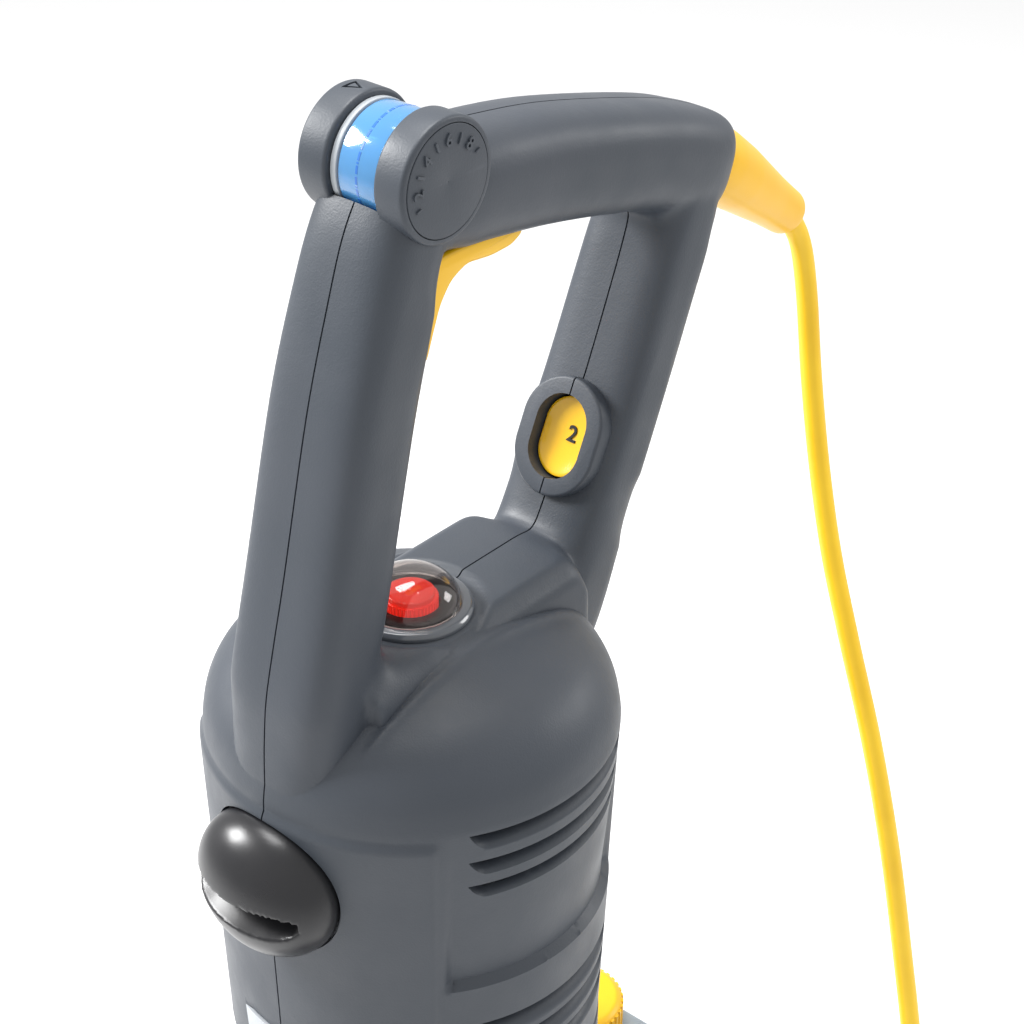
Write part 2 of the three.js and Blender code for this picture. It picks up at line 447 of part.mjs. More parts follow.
// The plug lies on the coil, on the side where the last turn runs towards -Y.
const plugAt = [COIL.x - COIL.r, 0, COIL.height + GAP + PLUG.r];
const alongY = (profile, at, sides) => solid(new THREE.LatheGeometry(
  profile.map(([r, h]) => new THREE.Vector2(r, h)), sides)
  .translate(at[0], 0, at[2]));
add("plug", join(alongY([[0, PLUG.front], [PLUG.r, PLUG.front], [PLUG.r, PLUG.rear - 10],
  [PLUG.stemR, PLUG.rear], [PLUG.stemR, PLUG.stemEnd], [0, PLUG.stemEnd]], plugAt, 20),
...[-9.5, 9.5].map((dx) => alongY([[0, PLUG.pinTip], [PLUG.pinR, PLUG.pinTip],
  [PLUG.pinR, PLUG.front + 1], [0, PLUG.front + 1]], [plugAt[0] + dx, 0, plugAt[2]], 10))), BLACK);

// ---------- brush deck ----------
const frameEnd = BRUSH_FRONT + 12;
const frameTail = WHEEL.y + 16;
const plateOutline = outline([[-frameEnd, FRAME_Z - 7], [-frameEnd, 30], [-frameEnd + 18, 22],
  [frameTail, 22], [frameTail, 40], [frameEnd + 4, 66], [frameEnd, FRAME_Z]]);
const sidePlates = [1, -1].map((side) => {
  const x = side > 0 ? PLATE.x : -PLATE.x - PLATE.t;
  return extrudeX(plateOutline, x, x + PLATE.t);
});
const acrossX = PLATE.x + PLATE.t + 1; // a bore through both side plates
const brushBores = [BRUSH_Y, -BRUSH_Y].map((y) => barX(BRUSH.shaftR + RUN, -acrossX, acrossX, y,
  BRUSH.r, 16));
const wheelBore = barX(WHEEL.axleR + GAP, -acrossX, acrossX, WHEEL.y, WHEEL.r, 16);
const idlerPin = barX(IDLER.pinR, PLATE.x + 1, DRIVE.x1 + 2, IDLER.y, IDLER.z, 12);
add("chassis", cut(join(...sidePlates, idlerPin,
  box(-PLATE.x - 1, PLATE.x + 1, 1 - frameEnd, frameEnd - 1, FRAME_Z - 4, FRAME_Z)),
...brushBores, wheelBore), STEEL);

// The hood over the brushes and the spray bar: a moulded shell, open below and at its ends,
// where the side plates close it. Two ears on top carry the pedal.
const HOOD_X = PLATE.x - GAP;
const hoodProfile = (inset) => {
  const low = inset ? DECK.bottom - 20 : DECK.bottom;
  return outline([
    [HOOD_REAR - inset, low], [HOOD_REAR - inset, HOOD_Z - 20 - inset],
    [HOOD_REAR - 19 - inset, HOOD_Z - inset], [HOOD_FRONT + 60 + inset, HOOD_Z - inset],
    [HOOD_FRONT + 12 + inset, HOOD_Z - 22 - inset], [HOOD_FRONT + inset, HOOD_Z - 42 - inset],
    [HOOD_FRONT + inset, low],
  ].reverse());
};
const motorFoot = (grow) => [-1, 1].map((side) => box(side * 80 - 18 - grow, side * 80 + 18 + grow,
  AXIS.y - 34 - grow, AXIS.y + 34 + grow, FRAME_Z + GAP - (grow ? 40 : 0), AXIS.z - 40));
const pedalEars = [-1, 1].map((side) => {
  const x = PEDAL.x + side * (PEDAL.w / 2 + 4);
  return box(x - 2, x + 2, PEDAL.y - 12, PEDAL.y + 4, HOOD_Z - 22, PEDAL.z + 9);
});
const pedalPin = (r, grow = 0) => barX(r, PEDAL.x - PEDAL.w / 2 - 8 - grow,
  PEDAL.x + PEDAL.w / 2 + 8 + grow, PEDAL.y - 4, PEDAL.z + 3, 14);
add("deck_hood", cut(join(cut(extrudeX(hoodProfile(0), -HOOD_X, HOOD_X),
  extrudeX(hoodProfile(WALL), -HOOD_X - 1, HOOD_X + 1), ...motorFoot(2)), ...pedalEars),
pedalPin(PEDAL.pinR + GAP, 2)), CHARCOAL);
add("front_bumper", box(-DECK.halfX + 4, DECK.halfX - 4, HOOD_FRONT - BUMPER.depth,
  HOOD_FRONT - GAP, BUMPER.z - BUMPER.h / 2, BUMPER.z + BUMPER.h / 2), RUBBER);

// Spray bar under the front of the hood, with two fan nozzles.
const sprayPorts = NOZZLES.map((x) => barZ(3.3, SPRAY.z - 20, SPRAY.z, x, SPRAY.y, 12));
add("spray_bar", cut(join(barX(SPRAY.r, -SPRAY.halfX, SPRAY.halfX, SPRAY.y, SPRAY.z, 14),
  ...NOZZLES.map((x) => barZ(5.5, SPRAY.z - 9, SPRAY.z, x, SPRAY.y, 12))), ...sprayPorts), PALE);
NOZZLES.forEach((x, i) => add(`spray_nozzle_${i + 1}`, turned([
  [0, -21], [2, -21], [5, -14], [5, -9 - GAP], [3, -9 - GAP], [3, -1], [0, -1]], "z",
[x, SPRAY.y, SPRAY.z], 12), YELLOW));

// Motor along the tilt axis; its end caps carry hollow trunnions for the fork.
const onAxis = (profile, sides = 28) => turned(profile, "x", [0, AXIS.y, AXIS.z], sides);
const caseBore = MOTOR.r - MOTOR.wall;
add("motor_casing", cut(join(onAxis([[caseBore, -CASE_X], [MOTOR.r, -CASE_X], [MOTOR.r, CASE_X],
  [caseBore, CASE_X]], 24), ...motorFoot(0)),
barX(caseBore, -CASE_X - 1, CASE_X + 1, AXIS.y, AXIS.z, 24)), CAST);
[[-1, "left"], [1, "right"]].forEach(([side, name]) => {
  const x0 = side * (CASE_X + GAP);
  const bore = MOTOR.shaftR + RUN;
  add(`motor_cap_${name}`, onAxis([[bore, x0], [MOTOR.r, x0], [MOTOR.r, x0 + side * (MOTOR.capT - 3)],
    [MOTOR.r - 3, x0 + side * MOTOR.capT], [MOTOR.trunnionR, x0 + side * MOTOR.capT],
    [MOTOR.trunnionR, side * TRUNNION_X], [bore, side * TRUNNION_X]], 24), CAST);
});
const ROTOR = { r: 38, halfX: 85 };
add("motor_rotor", onAxis([[0, -CASE_X - 20], [MOTOR.shaftR, -CASE_X - 20],
  [MOTOR.shaftR, -ROTOR.halfX], [ROTOR.r, -ROTOR.halfX], [ROTOR.r, ROTOR.halfX],
  [MOTOR.shaftR, ROTOR.halfX], [MOTOR.shaftR, DRIVE.x1 + 3], [0, DRIVE.x1 + 3]], 20), STEEL);

// Brush drive: one double-sided belt turns the rear brush and, by its back, the front one.
const pulley = (r, bore, y, z) => turned([[bore, DRIVE.x0], [r, DRIVE.x0], [r, DRIVE.x1],
  [bore, DRIVE.x1]], "x", [0, y, z], 16);
add("motor_pulley", pulley(DRIVE.motorR, MOTOR.shaftR + SEAT, AXIS.y, AXIS.z), STEEL);
const brushes = [["front", -BRUSH_Y], ["rear", BRUSH_Y]];
brushes.forEach(([name, y]) => {
  const at = [0, y, BRUSH.r];
  add(`brush_${name}_core`, turned([[0, -PLATE.x - 8], [BRUSH.shaftR, -PLATE.x - 8],
    [BRUSH.shaftR, -BRUSH_X], [BRUSH.coreR, -BRUSH_X], [BRUSH.coreR, BRUSH_X],
    [BRUSH.shaftR, BRUSH_X], [BRUSH.shaftR, DRIVE.x1 + 3], [0, DRIVE.x1 + 3]], "x", at, 16), BLACK);
  add(`brush_${name}_bristles`, turned([[BRUSH.coreR + GAP, -BRUSH_X + 4],
    [BRUSH.r, -BRUSH_X + 4], [BRUSH.r, BRUSH_X - 4], [BRUSH.coreR + GAP, BRUSH_X - 4]],
  "x", at, 28), BRISTLE);
  add(`brush_${name}_pulley`, pulley(DRIVE.brushR, BRUSH.shaftR + SEAT, y, BRUSH.r), BLACK);
});
const idlerBore = IDLER.pinR + RUN;
add("idler_pulley", turned([[idlerBore, DRIVE.x0], [DRIVE.idlerR, DRIVE.x0],
  [DRIVE.idlerR, DRIVE.x1], [idlerBore, DRIVE.x1]], "x", [0, IDLER.y, IDLER.z], 20), BLACK);

// The belt's line round the pulleys, counterclockwise seen from +X. A pulley inside the loop
// has a positive radius and one pressed on the belt's back a negative one.
function beltLine(offset) {
  const reach = GAP + DRIVE.beltT / 2;
  const rounds = [
    { y: AXIS.y, z: AXIS.z, r: DRIVE.motorR + reach },
    { y: IDLER.y, z: IDLER.z, r: DRIVE.idlerR + reach },
    { y: -BRUSH_Y, z: BRUSH.r, r: -DRIVE.brushR - reach },
    { y: BRUSH_Y, z: BRUSH.r, r: DRIVE.brushR + reach },
  ].map((round) => ({ ...round, r: round.r + offset }));
  const headings = rounds.map((from, i) => {
    const to = rounds[(i + 1) % rounds.length];
    const along = Math.atan2(to.z - from.z, to.y - from.y);
    return along - Math.asin((to.r - from.r) / Math.hypot(to.y - from.y, to.z - from.z));
  });
  return rounds.flatMap(({ y, z, r }, i) => {
    const into = headings[(i + rounds.length - 1) % rounds.length];
    let turn = headings[i] - into;
    if (r > 0) while (turn < 0) turn += 2 * Math.PI;
    if (r < 0) while (turn > 0) turn -= 2 * Math.PI;
    const steps = Math.max(3, Math.round(Math.abs(turn) / 0.26));
    return Array.from({ length: steps + 1 }, (_, k) => {
      const normal = into + (turn * k) / steps + Math.PI / 2;
      return [y - r * Math.cos(normal), z - r * Math.sin(normal)];
    });
  });
}
add("drive_belt", extrudeX(outline(beltLine(DRIVE.beltT / 2), [beltLine(-DRIVE.beltT / 2)]),
  DRIVE.x0 + 2.5, DRIVE.x1 - 2.5), RUBBER);

// Side covers: a low one on the left, and one with a tower round the motor pulley on the right.
const TOWER_R = 36;
const coverFront = HOOD_FRONT + 4;
const coverRear = HOOD_REAR - 13;
const lowCover = [[coverFront, 30], [coverRear, 30], [coverRear, FRAME_Z - 7],
  [coverRear - 16, FRAME_Z + 9], [coverFront + 56, FRAME_Z + 9], [coverFront, FRAME_Z - 19]];
const towerCover = [[coverFront, 30], [coverRear, 30], [coverRear, FRAME_Z - 7],
  [AXIS.y + TOWER_R, AXIS.z - 55], ...arc(AXIS.y, AXIS.z, TOWER_R, 0, 180, 8),
  [coverFront + 68, FRAME_Z + 15], [coverFront + 18, FRAME_Z - 19], [coverFront, FRAME_Z - 43]];
const coverIn = PLATE.x + PLATE.t + GAP;
const sideCover = (points, side) => {
  const x0 = side > 0 ? coverIn : -DECK.halfX;
  const x1 = side > 0 ? DECK.halfX : -coverIn;
  const shape = outline(points);
  const hollow = extrudeX(shape, x0 + (side > 0 ? -6 : WALL), x1 - (side > 0 ? WALL : -6), 0, WALL);
  const openFoot = box(side > 0 ? x0 - 6 : x0 + WALL, side > 0 ? x1 - WALL : x1 + 6,
    coverFront + WALL, coverRear - WALL, 0, 60);
  return cut(extrudeX(shape, x0, x1), hollow, openFoot);
};
add("belt_cover", sideCover(towerCover, 1), CHARCOAL);
add("side_cover_left", sideCover(lowCover, -1), CHARCOAL);

// Transport wheels on one through axle.
[[-1, "left"], [1, "right"]].forEach(([side, name]) => {
  const x0 = side * WHEEL.x;
  const x1 = side * (WHEEL.x + WHEEL.w);
  add(`wheel_${name}`, turned([[WHEEL.axleR + RUN, x0], [WHEEL.r - 2, x0], [WHEEL.r, x0 + side * 2],
    [WHEEL.r, x1 - side * 2], [WHEEL.r - 2, x1], [WHEEL.axleR + RUN, x1]], "x",
  [0, WHEEL.y, WHEEL.r], 24), RUBBER);
});
add("wheel_axle", barX(WHEEL.axleR, -WHEEL.x - WHEEL.w - 3, WHEEL.x + WHEEL.w + 3, WHEEL.y,
  WHEEL.r, 16), STEEL);

// Foot pedal that frees the column, on its pivot pin.
add("pedal_pin", pedalPin(PEDAL.pinR), STEEL);
add("tilt_pedal", cut(join(
  barX(6, PEDAL.x - PEDAL.w / 2, PEDAL.x + PEDAL.w / 2, PEDAL.y - 4, PEDAL.z + 3, 14),
  box(PEDAL.x - PEDAL.w / 2, PEDAL.x + PEDAL.w / 2, PEDAL.y - 4, PEDAL.y + PEDAL.length,
    PEDAL.z + 2, PEDAL.z + 8)), pedalPin(PEDAL.pinR + RUN, 2)), YELLOW);

export default machine;
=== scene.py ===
"""The looks of an upright carpet cleaning machine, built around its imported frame.

Every sub-assembly is a class that holds its sizes in millimetres and makes its own meshes. A
mesh is scaled to metres when it becomes a piece. Heights of the head are taken from the deck
between the legs of the loop handle, and places come from the frame's own nodes.
"""
from __future__ import annotations

import logging
import math
import random
from dataclasses import dataclass
from enum import Enum
from typing import Iterable, Sequence

import bmesh
import bpy
import numpy as np
from mathutils import Matrix, Quaternion, Vector


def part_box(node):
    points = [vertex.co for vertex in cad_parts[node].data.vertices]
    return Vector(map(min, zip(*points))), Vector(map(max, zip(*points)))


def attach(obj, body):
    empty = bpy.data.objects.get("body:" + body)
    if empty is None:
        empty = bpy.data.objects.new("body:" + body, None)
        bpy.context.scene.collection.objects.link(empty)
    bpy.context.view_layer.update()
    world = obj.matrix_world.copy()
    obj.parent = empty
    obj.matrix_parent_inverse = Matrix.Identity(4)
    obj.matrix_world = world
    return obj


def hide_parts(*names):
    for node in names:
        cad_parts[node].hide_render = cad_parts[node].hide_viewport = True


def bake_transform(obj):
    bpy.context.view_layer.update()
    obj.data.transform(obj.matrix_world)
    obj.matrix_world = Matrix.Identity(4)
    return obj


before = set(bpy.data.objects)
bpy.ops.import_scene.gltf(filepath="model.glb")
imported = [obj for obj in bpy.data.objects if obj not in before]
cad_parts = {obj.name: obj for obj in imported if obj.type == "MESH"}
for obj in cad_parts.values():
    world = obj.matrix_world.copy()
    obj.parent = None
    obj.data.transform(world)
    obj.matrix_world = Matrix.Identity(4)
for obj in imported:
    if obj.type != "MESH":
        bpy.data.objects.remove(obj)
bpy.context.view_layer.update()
LOG = logging.getLogger("carpet_cleaner")
MM = 0.001

Pair = tuple[float, float]
Triple = tuple[float, float, float]


def corner(node: str, high: bool = False) -> Vector:
    """A node's lowest corner, or its highest one, in millimetres."""
    return Vector(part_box(node)[1 if high else 0]) / MM


def middle(node: str) -> Vector:
    """The centre of a node's box, in millimetres."""
    return (corner(node) + corner(node, True)) / 2


DECK_Z = corner("dome_ring").z - 0.6
COLUMN_Y = middle("fan_wheel").y
DIAL_AT = middle("dial_wheel")
DIAL_LINE = (0, DIAL_AT.y, DIAL_AT.z)


# ---------------------------------------------------------------------------- finishes
class Coat(Enum):
    """The named finishes, by the record's material slot that each belongs to."""

    SHELL = "charcoal_shell"
    YELLOW = "yellow_plastic"
    YELLOW_GLOSS = "yellow_gloss"
    CORD = "yellow_cord"
    BLUE = "blue_clear"
    BLACK_SATIN = "black_satin"
    BLACK = "black_plastic"
    RED = "red_gloss"
    DOME = "clear_dome"
    PALE = "pale_plastic"
    TANK = "tank_plastic"
    STEEL = "steel"
    CAST = "cast_alloy"
    RUBBER = "rubber"
    BOARD = "board_green"
    BRISTLE = "bristle"


def linear(hex_colour: str) -> tuple[float, float, float, float]:
    """An sRGB colour such as "4c525a" as linear values with full alpha."""
    parts = [int(hex_colour[i:i + 2], 16) / 255 for i in (0, 2, 4)]
    values = [v / 12.92 if v <= 0.04045 else ((v + 0.055) / 1.055) ** 2.4 for v in parts]
    return (values[0], values[1], values[2], 1.0)


@dataclass
class Wiring:
    """A node tree being wired up."""

    tree: bpy.types.NodeTree

    def node(self, kind: str, **settings: object) -> bpy.types.Node:
        """Adds a node; settings are its properties, by name."""
        made = self.tree.nodes.new(kind)
        for name, value in settings.items():
            setattr(made, name, value)
        return made

    def link(self, source: bpy.types.NodeSocket, target: bpy.types.NodeSocket) -> None:
        """Joins an output to an input."""
        self.tree.links.new(source, target)

    def ramp(self, source: bpy.types.NodeSocket, low: float, high: float) -> bpy.types.NodeSocket:
        """Maps source so that low becomes 0 and high becomes 1, and clamps it."""
        made = self.node("ShaderNodeMapRange", clamp=True)
        made.inputs["From Min"].default_value = low
        made.inputs["From Max"].default_value = high
        self.link(source, made.inputs["Value"])
        return made.outputs["Result"]

    def math(self, operation: str, first: object, second: object) -> bpy.types.NodeSocket:
        """A Math node on sockets or numbers."""
        made = self.node("ShaderNodeMath", operation=operation)
        for socket, value in zip(made.inputs, (first, second)):
            if isinstance(value, bpy.types.NodeSocket):
                self.link(value, socket)
            else:
                socket.default_value = value
        return made.outputs["Value"]


def effect_group(name: str, inputs: dict[str, float],
                 outputs: Sequence[str]
                 ) -> tuple[bpy.types.NodeTree, Wiring, bpy.types.Node, bpy.types.Node]:
    """A shader node group with float inputs and outputs.

    Args:
        name: The group's name.
        inputs: Input names with their default values.
        outputs: Output names.

    Returns:
        The group, the wiring inside it, its input node and its output node.
    """
    group = bpy.data.node_groups.new(name, "ShaderNodeTree")
    for label, value in inputs.items():
        socket = group.interface.new_socket(label, in_out="INPUT", socket_type="NodeSocketFloat")
        socket.default_value = value
    for label in outputs:
        group.interface.new_socket(label, in_out="OUTPUT", socket_type="NodeSocketFloat")
    wires = Wiring(group)
    return group, wires, wires.node("NodeGroupInput"), wires.node("NodeGroupOutput")


class Effects:
    """The effects that several finishes share, each built once."""

    def __init__(self) -> None:
        """Builds every effect group."""
        self.grain = self._grain()
        self.mottle = self._mottle()
        self.wear = self._wear()
        self.dust = self._dust()

    @staticmethod
    def _noise(wires: Wiring, scale: object, detail: float) -> bpy.types.NodeSocket:
        """Noise on object coordinates at a scale per metre."""
        place = wires.node("ShaderNodeTexCoord")
        noise = wires.node("ShaderNodeTexNoise")
        noise.inputs["Detail"].default_value = detail
        wires.link(place.outputs["Object"], noise.inputs["Vector"])
        if isinstance(scale, bpy.types.NodeSocket):
            wires.link(scale, noise.inputs["Scale"])
        else:
            noise.inputs["Scale"].default_value = scale
        return noise.outputs["Fac"]

    def _grain(self) -> bpy.types.NodeTree:
        """Spark-eroded mould grain: fine pits over a slightly coarser waviness."""
        group, wires, start, end = effect_group("mould_grain", {"Scale": 900.0}, ["Height", "Mask"])
        fine = self._noise(wires, start.outputs["Scale"], 2.0)
        coarse = self._noise(wires, wires.math("MULTIPLY", start.outputs["Scale"], 0.3), 1.0)
        mixed = wires.math("ADD", fine, wires.math("MULTIPLY", coarse, 0.6))
        wires.link(mixed, end.inputs["Height"])
        wires.link(wires.ramp(mixed, 0.55, 1.05), end.inputs["Mask"])
        return group

    def _mottle(self) -> bpy.types.NodeTree:
        """Slow unevenness of a moulded or painted colour."""
        group, wires, start, end = effect_group("slow_mottle", {"Scale": 14.0}, ["Mask"])
        wires.link(wires.ramp(self._noise(wires, start.outputs["Scale"], 4.0), 0.3, 0.7),
                   end.inputs["Mask"])
        return group

    def _wear(self) -> bpy.types.NodeTree:
        """Rubbed edges: the sharpest outward edges, broken up by noise."""
        group, wires, start, end = effect_group("edge_wear", {"Amount": 0.5}, ["Mask"])
        shape = wires.node("ShaderNodeNewGeometry")
        edges = wires.ramp(shape.outputs["Pointiness"], 0.52, 0.6)
        patches = wires.ramp(self._noise(wires, 180.0, 3.0), 0.35, 0.7)
        broken = wires.math("MULTIPLY", edges, patches)
        wires.link(wires.math("MULTIPLY", broken, start.outputs["Amount"]), end.inputs["Mask"])
        return group

    def _dust(self) -> bpy.types.NodeTree:
        """Dust that settles on faces that look up."""
        group, wires, start, end = effect_group("settled_dust", {"Amount": 0.3}, ["Mask"])
        shape = wires.node("ShaderNodeNewGeometry")
        split = wires.node("ShaderNodeSeparateXYZ")
        wires.link(shape.outputs["Normal"], split.inputs["Vector"])
        up = wires.ramp(split.outputs["Z"], 0.3, 1.0)
        cloudy = wires.math("MULTIPLY", up, wires.ramp(self._noise(wires, 45.0, 5.0), 0.4, 0.75))
        wires.link(wires.math("MULTIPLY", cloudy, start.outputs["Amount"]), end.inputs["Mask"])
        return group


EFFECTS = Effects()


@dataclass(frozen=True)
class Finish:
    """A procedural finish: two tones, grain, wear and dust over one shader.

    Attributes:
        coat: The record's slot.
        tone: The main colour as sRGB hex.
        drift: The second colour, which the mottle mixes in.
        rough: Roughness of the plain surface.
        grain: Bump height of the grain, 0 for none.
        grain_scale: Grain cells per metre.
        worn: Colour of the rubbed edges.
        wear: How much of the edges is rubbed.
        dust: How much dust lies on top.
        metal: Metallic value.
        clear: Transmission, for clear plastics.
        clear_coat: A gloss layer over the colour.
        painted_glow: Strength of a painted glow, light given off by a part that is no lamp.
        mottle_scale: Size of the slow unevenness, per metre.
        sheen_soft: Sheen weight.
        specular: How strongly the plain surface mirrors.
    """

    coat: Coat
    tone: str
    drift: str
    rough: float = 0.5
    grain: float = 0.0
    grain_scale: float = 900.0
    worn: str = "8a8f96"
    wear: float = 0.0
    dust: float = 0.0
    metal: float = 0.0
    clear: float = 0.0
    clear_coat: float = 0.0
    painted_glow: float = 0.0
    mottle_scale: float = 14.0
    sheen_soft: float = 0.0
    specular: float = 0.5

    def material(self) -> bpy.types.Material:
        """The material of this finish, made the first time it is asked for."""
        name = self.coat.value + "_" + self.tone
        ready = bpy.data.materials.get(name)
        if ready:
            return ready
        made = bpy.data.materials.new(name)
        made.use_nodes = True
        wires = Wiring(made.node_tree)
        shader = made.node_tree.nodes["Principled BSDF"]
        self._colour(wires, shader)
        self._surface(wires, shader)
        for label, value in (("Metallic", self.metal), ("Transmission Weight", self.clear),
                             ("Coat Weight", self.clear_coat), ("Sheen Weight", self.sheen_soft),
                             ("Specular IOR Level", self.specular)):
            shader.inputs[label].default_value = value
        # A painted glow: the finish gives off light of its own colour though the part is no lamp.
        if self.painted_glow:
            shader.inputs["Emission Color"].default_value = linear(self.tone)
            shader.inputs["Emission Strength"].default_value = self.painted_glow
        return made

    def _group(self, wires: Wiring, tree: bpy.types.NodeTree, **inputs: float) -> bpy.types.Node:
        """Places an effect group with this finish's own values."""
        made = wires.node("ShaderNodeGroup", node_tree=tree)
        for name, value in inputs.items():
            made.inputs[name].default_value = value
        return made

    def _mixed(self, wires: Wiring, first: bpy.types.NodeSocket, colour: str,
               mask: bpy.types.NodeSocket) -> bpy.types.NodeSocket:
        """Mixes a plain colour over another by a mask."""
        mix = wires.node("ShaderNodeMix", data_type="RGBA")
        wires.link(mask, mix.inputs["Factor"])
        wires.link(first, mix.inputs[6])
        mix.inputs[7].default_value = linear(colour)
        return mix.outputs[2]

    def _colour(self, wires: Wiring, shader: bpy.types.Node) -> None:
        """Wires the colour: tone, drift, worn edges and dust."""
        mottle = self._group(wires, EFFECTS.mottle, Scale=self.mottle_scale)
        mix = wires.node("ShaderNodeMix", data_type="RGBA")
        mix.inputs[6].default_value = linear(self.tone)
        mix.inputs[7].default_value = linear(self.drift)
        wires.link(mottle.outputs["Mask"], mix.inputs["Factor"])
        colour = mix.outputs[2]
        if self.wear:
            wear = self._group(wires, EFFECTS.wear, Amount=self.wear)
            colour = self._mixed(wires, colour, self.worn, wear.outputs["Mask"])
        if self.dust:
            dust = self._group(wires, EFFECTS.dust, Amount=self.dust)
            colour = self._mixed(wires, colour, "9c978c", dust.outputs["Mask"])
        wires.link(colour, shader.inputs["Base Color"])

    def _surface(self, wires: Wiring, shader: bpy.types.Node) -> None:
        """Wires roughness and the grain's bump."""
        mottle = self._group(wires, EFFECTS.mottle, Scale=self.mottle_scale * 3.1)
        spread = wires.node("ShaderNodeMapRange")
        spread.inputs["To Min"].default_value = self.rough * 0.88
        spread.inputs["To Max"].default_value = min(1.0, self.rough * 1.14)
        wires.link(mottle.outputs["Mask"], spread.inputs["Value"])
        wires.link(spread.outputs["Result"], shader.inputs["Roughness"])
        if not self.grain:
            return
        grain = self._group(wires, EFFECTS.grain, Scale=self.grain_scale)
        bump = wires.node("ShaderNodeBump")
        bump.inputs["Strength"].default_value = 1.0
        bump.inputs["Distance"].default_value = self.grain
        wires.link(grain.outputs["Height"], bump.inputs["Height"])
        wires.link(bump.outputs["Normal"], shader.inputs["Normal"])


SHELL = Finish(Coat.SHELL, "40454d", "3a4048", rough=0.46, grain=0.00007, grain_scale=1300,
               worn="747a83", wear=0.12, dust=0.02)
YELLOW = Finish(Coat.YELLOW, "f9c416", "f3b90f", rough=0.34, grain=0.00002, grain_scale=900)
YELLOW_GLOSS = Finish(Coat.YELLOW_GLOSS, "fbc61c", "f7bd12", rough=0.16, clear_coat=0.6)
CORD = Finish(Coat.CORD, "fbcf1e", "efbe12", rough=0.42, grain=0.00003, grain_scale=500,
              mottle_scale=22)
BLUE = Finish(Coat.BLUE, "6fb4ea", "5aa5e4", rough=0.12, clear=0.45, clear_coat=0.4)
BLUE_DEEP = Finish(Coat.BLUE, "2f6fc0", "2a66b4", rough=0.25, clear_coat=0.3)
BLACK_SATIN = Finish(Coat.BLACK_SATIN, "232326", "1d1d20", rough=0.3, grain=0.00001,
                     grain_scale=1600, dust=0.02)
BLACK = Finish(Coat.BLACK, "232426", "1c1d1f", rough=0.5, grain=0.00004, grain_scale=900,
               dust=0.05)
# The red button's finish has a painted glow, so that it stays bright under the clear dome.
RED = Finish(Coat.RED, "f0301f", "e2281c", rough=0.22, clear_coat=0.5, painted_glow=0.7)
DOME = Finish(Coat.DOME, "d8cfcb", "d2cac6", rough=0.03, clear=1.0)
SMOKE = Finish(Coat.PALE, "5a5e64", "54585e", rough=0.14, clear_coat=0.7)
PALE = Finish(Coat.PALE, "b4b8bd", "aab0b5", rough=0.32, grain=0.00001, grain_scale=1200)
TANK = Finish(Coat.TANK, "c6d2dc", "bccad5", rough=0.3, clear=0.45, grain=0.00002,
              grain_scale=260, clear_coat=0.2)
STEEL = Finish(Coat.STEEL, "b9bcc0", "a9acb1", rough=0.32, metal=1.0, grain=0.00002,
               grain_scale=700, wear=0.15, worn="dadde0")
CAST = Finish(Coat.CAST, "94989d", "868a90", rough=0.5, metal=0.85, grain=0.0001,
              grain_scale=420, wear=0.25, worn="c4c8cc", dust=0.08)
RUBBER = Finish(Coat.RUBBER, "2a2b2d", "232426", rough=0.78, grain=0.00005, grain_scale=500,
                dust=0.12, sheen_soft=0.1)
BOARD = Finish(Coat.BOARD, "2f7044", "286239", rough=0.45, grain=0.00003, grain_scale=300)
BRISTLE = Finish(Coat.BRISTLE, "35558f", "2b4779", rough=0.55, grain=0.00006, grain_scale=900,
                 sheen_soft=0.3)


# ---------------------------------------------------------------------------- modelling
class Axis(Enum):
    """The axis that a turned or extruded piece runs along."""

    X = 0
    Y = 1
    Z = 2

    def turn(self) -> Matrix:
        """Turns a piece made along Z so that it runs along this axis."""
        if self is Axis.X:
            return Matrix(((0, 0, 1), (1, 0, 0), (0, 1, 0))).to_4x4()
        if self is Axis.Y:
            return Matrix(((0, 1, 0), (0, 0, 1), (1, 0, 0))).to_4x4()
        return Matrix.Identity(4)


def tidy(bm: bmesh.types.BMesh) -> bmesh.types.BMesh:
    """Merges doubles and points every face outwards."""
    bmesh.ops.remove_doubles(bm, verts=bm.verts, dist=1e-3)
    bmesh.ops.recalc_face_normals(bm, faces=bm.faces)
    return bm


def placed(bm: bmesh.types.BMesh, matrix: Matrix) -> bmesh.types.BMesh:
    """Moves a bmesh by a matrix and hands it back."""
    bmesh.ops.transform(bm, matrix=matrix, verts=bm.verts)
    return bm


def rounded(points: Sequence[Pair], radius: float, steps: int = 4) -> list[Pair]:
    """A closed outline with its corners rounded.

    Args:
        points: The corners in order.
        radius: The rounding, kept under two fifths of the shorter side at each corner.
        steps: Points per corner, less one.

    Returns:
        The outline with each corner as a curve.
    """
    result: list[Pair] = []
    count = len(points)
    for i, point in enumerate(points):
        here = Vector(point)
        before = Vector(points[i - 1]) - here
        after = Vector(points[(i + 1) % count]) - here
        reach = min(radius, 0.4 * before.length, 0.4 * after.length)
        start, end = here + before.normalized() * reach, here + after.normalized() * reach
        for k in range(steps + 1):
            t = k / steps
            spot = start * (1 - t) ** 2 + here * 2 * t * (1 - t) + end * t ** 2
            result.append((spot.x, spot.y))
    return result


def softened(outline: Sequence[Pair], edge: float = 0.8) -> list[Pair]:
    """A turned outline with softened corners."""
    return rounded(outline, edge, 3)


def flowing(points: Sequence[Sequence[float]], steps: int) -> list[Vector]:
    """A smooth open line through points, with a number of steps between neighbours."""
    given = [Vector(p) for p in points]
    padded = [given[0] * 2 - given[1], *given, given[-1] * 2 - given[-2]]
    line: list[Vector] = []
    for a, b, c, d in zip(padded, padded[1:], padded[2:], padded[3:]):
        for k in range(steps):
            t = k / steps
            line.append(0.5 * (2 * b + (c - a) * t + (2 * a - 5 * b + 4 * c - d) * t ** 2
                               + (3 * b - a - 3 * c + d) * t ** 3))
    return [*line, given[-1]]


